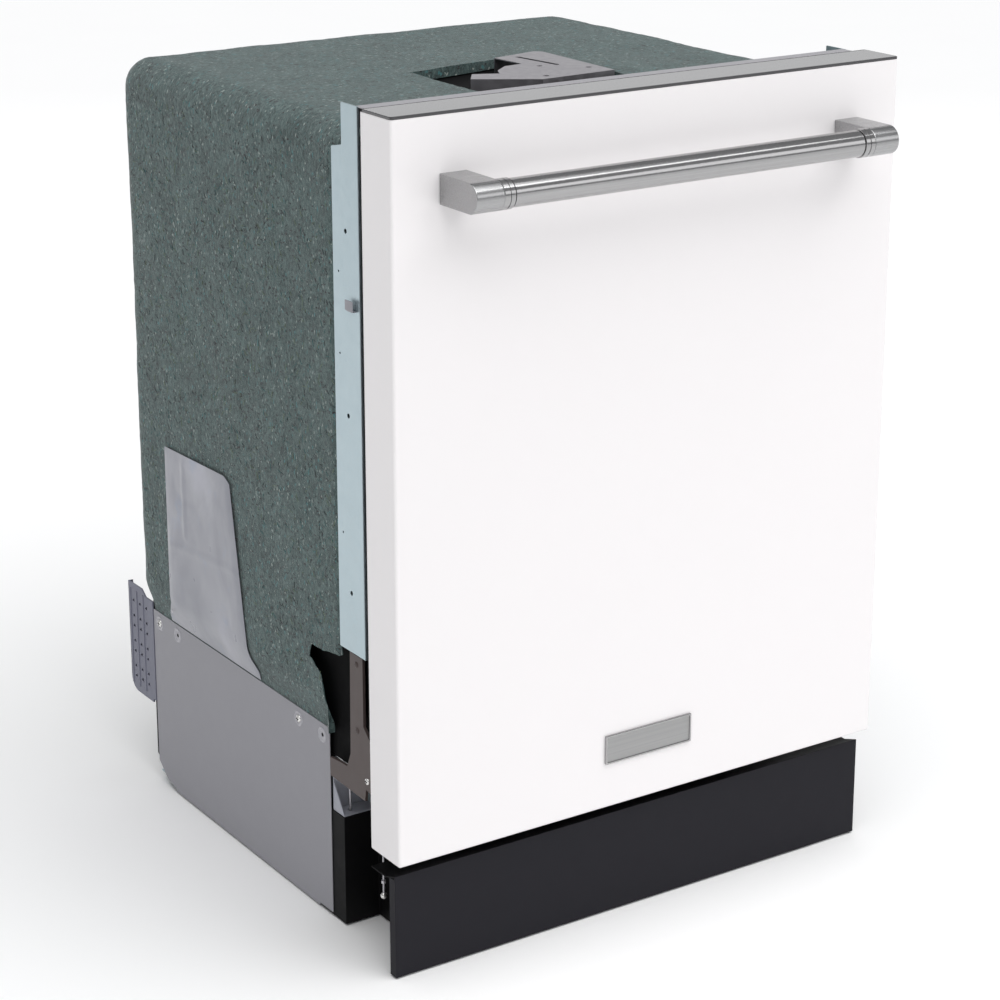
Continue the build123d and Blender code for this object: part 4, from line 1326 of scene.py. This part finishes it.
def build_water_system():
    shaft_z = 118 * MM
    keep("sump", BLACK_PLASTIC, 0.8)
    wash = [(90, 30), (92, 44), (96, 48), (112, 48), (118, 44), (124, 40)] + fins(126, 206, 12, 40)
    wash += [(210, 30), (214, 22)]
    turned("wash_pump", wash, "X", (0, HUB_Y, shaft_z), MOTOR, "wash_pump_motor", "cabinet")
    drain = [(90, 22), (92, 29), (96, 30), (114, 30), (118, 24)] + fins(122, 164, 7, 24)
    drain += [(168, 16), (170, 10)]
    drain = [(-along, r) for along, r in drain]
    turned("drain_pump", drain, "X", (0, HUB_Y, shaft_z), MOTOR, "drain_pump_motor", "cabinet")
    heater = [(-90, 10), (-89, 12), (-72, 12), (-70, 28), (-66, 32)]
    for x in range(-60, 60, 15):
        heater += [(x, 32), (x + 2, 30.8), (x + 4, 32)]
    heater += [(66, 32), (70, 28), (72, 12), (89, 12), (90, 10)]
    turned(
        "heater", heater, "X", (0, behind(430), 110 * MM), STAINLESS, "flow_heater", "cabinet",
    )
    keep("inlet_valve", WHITE_PLASTIC, 1.5)
    keep("drain_outlet", BLACK_PLASTIC, 0.6)
    keep("feed_pipe", GREY_PLASTIC, 1.5)
    keep("upper_feed_tube", GREY_PLASTIC, 1.2)

    floor_z = 182 * MM
    tray = [
        (-2.9, 63.3), (-0.4, 63.3), (0, 62.6), (-0.1, 60), (-1.2, 57), (-2.0, 40), (-2.2, 27.5), (-2.2, 0.5),
    ]
    disc = lathe("filter_tray", in_metres(tray), "Z", (0, HUB_Y, floor_z), 72)
    can = [(-82, 0.5), (-82, 25), (-80, 26), (-78, 26), (-77.5, 24.5), (-8, 24.5), (-7.5, 26), (-3, 26)]
    cup = lathe("filter_can", in_metres(can), "Z", (30 * MM, HUB_Y, floor_z), 48)
    post = [(0, 6.8), (7.5, 6.8), (7.6, 4.9), (22, 4.9), (22.2, 4.2)]
    stub = lathe("filter_post", in_metres(post), "Z", (0, HUB_Y, floor_z), 32)
    collar = in_metres([(-2, 23), (1.6, 23), (2.2, 22), (2.2, 18), (-1.5, 16)])
    ring = lathe("filter_ring", collar, "Z", (30 * MM, HUB_Y, floor_z), 40)
    pieces = [(disc, SCREEN), (cup, SCREEN), (stub, GREY_PLASTIC), (ring, GREY_PLASTIC)]
    assemble("fine_filter", "cabinet", ["filter"], pieces)

    bell = [(0, 9), (0.5, 10.6), (1.5, 11), (11, 11), (13.5, 9.6), (15.2, 6), (15.7, 0.5)]
    place_at = (-215 * MM, behind(115), low("float").z)
    turned("float", bell, "Z", place_at, GREY_PLASTIC, "overfill_float", "float")


def build_spray_arm(node, body, tip, name):
    """A tapered arm with a raised hub, slotted jets and pinched ends."""
    start, end = low(node), high(node)
    reach = end.x
    bottom, top = start.z, end.z
    tip *= MM
    shoulder = [(reach * 0.45, tip * 0.80), (tip * 1.6, tip * 0.98), (tip * 0.8, tip * 1.34)]
    half = arc(reach - tip * 0.72, 0, tip * 0.72, -90, 90, 12) + shoulder + [(0, tip * 1.4)]
    loop = half + [(-x, y) for x, y in reversed(half[:-1])]
    below = [(-x, -y) for x, y in shoulder] + [(0, -tip * 1.4), (tip * 0.8, -tip * 1.34)]
    loop = [(x, y + HUB_Y) for x, y in loop + below]
    jets = []
    count = 5
    for side in (-1, 1):
        for step in range(count):
            x = side * reach * (0.30 + 0.62 * step / (count - 1))
            y = HUB_Y + side * tip * (0.35 - 0.2 * (step % 2))
            jets.append(box_outline(x - 4 * MM, x + 4 * MM, y - 0.9 * MM, y + 0.9 * MM))
    bore = circle(0, HUB_Y, 5.2 * MM, 32)
    arm = sheet("arm", [loop, bore, *jets], "Z", bottom + 0.6 * MM, top - 0.6 * MM, 2.2)
    height, wide = top / MM - bottom / MM, tip / MM
    dome = [
        (0, 5.2), (0, wide * 0.9), (0.8, wide), (height - 0.8, wide * 0.78),
        (height, wide * 0.7), (height, 5.2),
    ]
    ring = lathe("arm_hub", in_metres(dome), "Z", (0, HUB_Y, bottom), bored=True)
    assemble(name, body, [node], [(arm, GREY_PLASTIC), (ring, GREY_PLASTIC)])


# ---------------------------------------------------------------- racks

def basket_runs(node, floor_z, rows, columns, tine_height, tine_rows):
    """Routes of the bent wires of one rack."""
    half = 248 * MM
    front, back = behind(102), behind(543)
    rim = high(node).z - 2 * MM
    floor = floor_z * MM
    bend = 14 * MM
    lean = 5 * MM
    crossing = []
    for i in range(rows):
        y = front + (back - front) * (i + 0.5) / rows
        crossing.append(bent([(-half, y, rim), (-half, y, floor), (half, y, floor), (half, y, rim)], bend))
    for i in range(columns):
        x = -half + 2 * half * (i + 0.5) / columns
        z = floor + 2.4 * MM
        crossing.append(bent([(x, front, rim), (x, front, z), (x, back, z), (x, back, rim)], bend))
    hoops = []
    for z in (rim, (floor + rim) / 2):
        loop = rectangle(-half, half, front, back, bend * 1.6)
        hoops.append([(x, y, z) for x, y in loop + loop[:1]])
    tines = []
    for depth in tine_rows:
        y = behind(depth)
        hoops.append([(-half, y, floor + 1.5 * MM), (half, y, floor + 1.5 * MM)])
        for i in range(columns * 2):
            x = -half + 2 * half * (i + 0.5) / (columns * 2)
            tines.append([
                (x, y, floor), (x, y + lean * 0.2, floor + tine_height * MM * 0.5),
                (x, y + lean, floor + (tine_height - 4) * MM),
            ])
    return crossing, hoops, tines


def build_rack(node, body, name, floor_z, rows, columns, tine_height, tine_rows):
    crossing, hoops, tines = basket_runs(node, floor_z, rows, columns, tine_height, tine_rows)
    pieces = [
        (wires("thin", crossing, 1.5 * MM, 2), WIRE),
        (wires("thick", hoops, 2.0 * MM, 2), WIRE),
    ]
    if tines:
        pieces.append((wires("tines", tines, 1.4 * MM, 2), WIRE))
    if node == "lower_rack":
        axle_z = (low("rack_wheels_front").z + high("rack_wheels_front").z) / 2
        hangers = []
        for depth in (165, 480):
            y = behind(depth)
            plate_start = (-252 * MM, y - 9 * MM, axle_z - 7 * MM)
            plate = block("hanger", plate_start, (-247.5 * MM, y + 9 * MM, 0.231), 1.2)
            axle = rod("axle", "X", (-266 * MM, y, axle_z), 15 * MM, 4 * MM, 0.6)
            cap = in_metres([(0, 4), (0.6, 6), (1.5, 6)])
            button = lathe("button", cap, "X", (-266 * MM, y, axle_z), 24)
            hangers += [(plate, GREY_PLASTIC), (axle, GREY_PLASTIC), (button, GREY_PLASTIC)]
        pieces += both_sides(hangers)
    elif node == "upper_rack":
        grip = block("grip", (-70 * MM, behind(99.5), 584 * MM), (70 * MM, behind(104), 602 * MM), 2.0, 3)
        pieces.append((grip, GREY_PLASTIC))
    assemble(name, body, [node], pieces, 60)


def build_wheels():
    for where in ("front", "rear"):
        node = f"rack_wheels_{where}"
        start, end = low(node), high(node)
        z, y = (start.z + end.z) / 2, (start.y + end.y) / 2
        width = 8 * MM
        profile = [
            (0, 4.1), (0, 6.5), (1.4, 7), (1.4, 11.5), (0.2, 12.5), (0, 14.5), (1, 16), (3.2, 16),
            (3.8, 15.2), (4.2, 15.2), (4.8, 16), (7, 16), (8, 14.5), (7.8, 12.5), (6.6, 11.5), (6.6, 7),
            (8, 6.5), (8, 4.1),
        ]
        tyre = lathe("tyre", in_metres(profile), "X", (WHEEL_OUT, y, z), 40, bored=True)
        pieces = [(tyre, GREY_PLASTIC)]
        for k in range(5):
            spoke_start = (WHEEL_OUT + 0.5 * MM, -1.1 * MM, 6 * MM)
            spoke_end = (WHEEL_OUT + width - 0.5 * MM, 1.1 * MM, 12.4 * MM)
            spoke = block("spoke", spoke_start, spoke_end, 0.3)
            turn = Matrix.Translation((0, y, z)) @ Matrix.Rotation(2 * math.pi * k / 5, 4, "X")
            spoke.data.transform(turn)
            pieces.append((spoke, GREY_PLASTIC))
        assemble(f"{where}_wheels", f"{where}_wheels", [node], both_sides(pieces))


def build_cutlery_basket():
    start, end = low("cutlery_basket"), high("cutlery_basket")
    thick = 2 * MM

    def slots(first, last, z0, z1):
        loops = []
        pitch, width, margin, rows = 7 * MM, 3.4 * MM, 5 * MM, 3
        count = int((last - first - 2 * margin) / pitch)
        step = (last - first - 2 * margin) / count
        height = (z1 - z0 - 2 * margin) / rows
        for row in range(rows):
            for i in range(count):
                u = first + margin + step * (i + 0.5)
                v = z0 + margin + height * row
                loops.append(box_outline(u - width / 2, u + width / 2, v + 2 * MM, v + height - 2 * MM))
        return loops

    def wall(axis, first, last, place):
        outline = box_outline(first, last, start.z, end.z)
        return sheet("wall", [outline, *slots(first, last, start.z, end.z)], axis, place, place + thick, 0.4)

    pieces = [wall("Y", start.x, end.x, start.y), wall("Y", start.x, end.x, end.y - thick)]
    pieces += [wall("X", start.y, end.y, x) for x in (start.x, end.x - thick, -thick / 2)]
    outline = box_outline(start.x, end.x, start.y, end.y)
    holes = []
    columns, rows = 30, 5
    for i in range(columns):
        for j in range(rows):
            x = start.x + (end.x - start.x) * (i + 0.5) / columns
            y = start.y + (end.y - start.y) * (j + 0.5) / rows
            size = 3.6 * MM
            holes.append(box_outline(x - size, x + size, y - size, y + size))
    pieces.append(sheet("basket_floor", [outline, *holes], "Z", start.z, start.z + thick, 0.4))
    pieces = [(piece, GREY_PLASTIC) for piece in pieces]
    assemble("cutlery_cage", "lower_rack", ["cutlery_basket"], pieces)


def build_racks():
    build_rack("lower_rack", "lower_rack", "lower_basket", 212, 11, 13, 62, (220, 300, 400, 470))
    build_rack("upper_rack", "upper_rack", "upper_basket", 510, 11, 13, 38, (250, 400))
    build_rack("third_rack", "third_rack", "cutlery_tray", 738, 16, 13, 0, ())
    build_wheels()
    build_cutlery_basket()
    keep("upper_slides", STAINLESS, 1.2)
    keep("third_slides", STAINLESS, 1.2)
    build_spray_arm("lower_spray_arm", "lower_arm", 20, "lower_wash_arm")
    build_spray_arm("upper_spray_arm", "upper_arm", 17, "upper_wash_arm")
    build_spray_arm("top_spray_arm", "top_arm", 14, "top_wash_arm")


# ---------------------------------------------------------------- door inside

def build_liner():
    start, end = low("door_inner_liner"), high("door_inner_liner")
    cup_low, cup_high = low("dispenser_body"), high("dispenser_body")
    front, back = start.y, end.y
    lap = 5 * MM
    opening = rectangle(cup_low.x + lap, cup_high.x - lap, cup_low.z + lap, cup_high.z - lap, 6 * MM)
    latch_gap = rectangle(-16 * MM, 16 * MM, 0.831, 0.849, 2 * MM)
    edge = rectangle(start.x, end.x, start.z, end.z, 10 * MM)
    inset = rectangle(start.x + SHEET, end.x - SHEET, start.z + SHEET, end.z - SHEET, 9 * MM)
    face = sheet("liner_face", [edge, opening, latch_gap], "Y", back - SHEET, back, 0.5)
    sides = sheet("liner_sides", [edge, inset], "Y", front, back - SHEET, 0.2)
    pieces = [(face, STAINLESS), (sides, STAINLESS)]
    bead_loop = rectangle(start.x + 0.03, end.x - 0.03, start.z + 0.035, end.z - 0.045, 30 * MM)
    bead_route = [(x, back - 0.4 * MM, z) for x, z in bead_loop]
    pieces.append((wires("bead", [bead_route + bead_route[:1]], 1.6 * MM), STAINLESS))
    for z in (0.26, 0.34, 0.42, 0.68, 0.74):
        rib = [(-0.19, back - 0.6 * MM, z), (0.19, back - 0.6 * MM, z)]
        pieces.append((wires("rib", [rib], 2.2 * MM), STAINLESS))
    assemble("inner_liner", "door", ["door_inner_liner"], pieces)
    keep("control_board", CIRCUIT, 0.2)
    keep("latch_body", BLACK_PLASTIC, 0.8)
    keep("latch_pawl", ZINC, 0.4)


def build_dispenser():
    cup_low, cup_high = low("dispenser_body"), high("dispenser_body")
    rim = rectangle(cup_low.x, cup_high.x, cup_low.z, cup_high.z, 8 * MM)
    cup = rectangle(-85 * MM, -5 * MM, 0.5, 0.59, 6 * MM)
    well = circle(48 * MM, 0.545, 24 * MM, 48)
    plate = sheet("dispenser_plate", [rim, cup, well], "Y", cup_high.y - 3 * MM, cup_high.y, 0.8)
    cup_bottom = behind(36)
    wall_loop = rectangle(-86.5 * MM, -3.5 * MM, 0.4985, 0.5915, 7 * MM)
    cup_walls = sheet("cup_walls", [wall_loop, cup], "Y", cup_bottom, cup_high.y - 2 * MM, 0.3)
    floor_loop = rectangle(-86 * MM, -4 * MM, 0.499, 0.591, 6 * MM)
    cup_floor = sheet("cup_floor", [floor_loop], "Y", behind(34), cup_bottom, 0.3)
    lap = 5.5 * MM
    box_start = (cup_low.x + lap, cup_low.y, cup_low.z + lap)
    box_end = (cup_high.x - lap, cup_high.y - 2.5 * MM, cup_high.z - lap)
    box = pan("dispenser_box", box_start, box_end, [(0, 1, 0)], 3, 1.5)
    seat = lathe("cap_seat", in_metres([(-6, 24.5), (0, 24.5)]), "Y", (48 * MM, behind(52), 0.545))
    window = rod("level_window", "Y", (82 * MM, cup_high.y + 0.4 * MM, 0.508), 3 * MM, 4.5 * MM, 0.4)
    mark_end = (-40 * MM, cup_high.y + 0.1 * MM, 0.4925)
    mark = block("arrow", (-50 * MM, cup_high.y - 0.4 * MM, 0.4905), mark_end, 0.2)
    pieces = [(piece, GREY_PLASTIC) for piece in (plate, cup_walls, cup_floor, box, seat, mark)]
    pieces.append((window, GLOSS_BLACK))
    assemble("dispenser_tray", "door", ["dispenser_body"], pieces)


def build_dispenser_lid():
    start, end = low("dispenser_lid"), high("dispenser_lid")
    lid_back = start.y + 2 * MM
    lid = sheet("lid", [rectangle(start.x, end.x, start.z, end.z, 7 * MM)], "Y", start.y, lid_back, 0.7)
    ridges = [(lid, PALE_PLASTIC)]
    for i in range(5):
        z = 0.5725 + 0.004 * i
        ridge_end = (end.x - 24 * MM, lid_back + (3.0 if i == 4 else 1.2) * MM, z + 1.8 * MM)
        ridge_start = (start.x + 24 * MM, lid_back - 0.3 * MM, z)
        ridges.append((block("grip", ridge_start, ridge_end, 0.6), PALE_PLASTIC))
    assemble("detergent_lid", "dispenser_lid", ["dispenser_lid"], ridges)


def build_rinse_cap():
    start, end = low("rinse_aid_cap"), high("rinse_aid_cap")
    rounded_edge = in_metres([(-3.8, 20), (-3.8, 21.5), (-3.0, 22.6), (-0.6, 23), (0, 22.6)])
    disc = lathe("cap_disc", rounded_edge, "Y", (48 * MM, start.y, 0.545), 56)
    grip = block("cap_grip", (44 * MM, start.y + 3 * MM, 0.528), (52 * MM, end.y, 0.562), 1.6, 3)
    pieces = [(disc, GREY_PLASTIC), (grip, PALE_PLASTIC)]
    assemble("rinse_cap_dial", "rinse_cap", ["rinse_aid_cap"], pieces)


build_camera()
build_stage()
build_felt()
build_door_shell()
build_handle()
build_badge()
build_strips()
build_front_frame()
build_seal()
build_breather()
build_base()
build_vents()
build_toe_kick()
build_feet()
build_hinges()
build_tub()
build_water_system()
build_racks()
build_liner()
build_dispenser()
build_dispenser_lid()
build_rinse_cap()
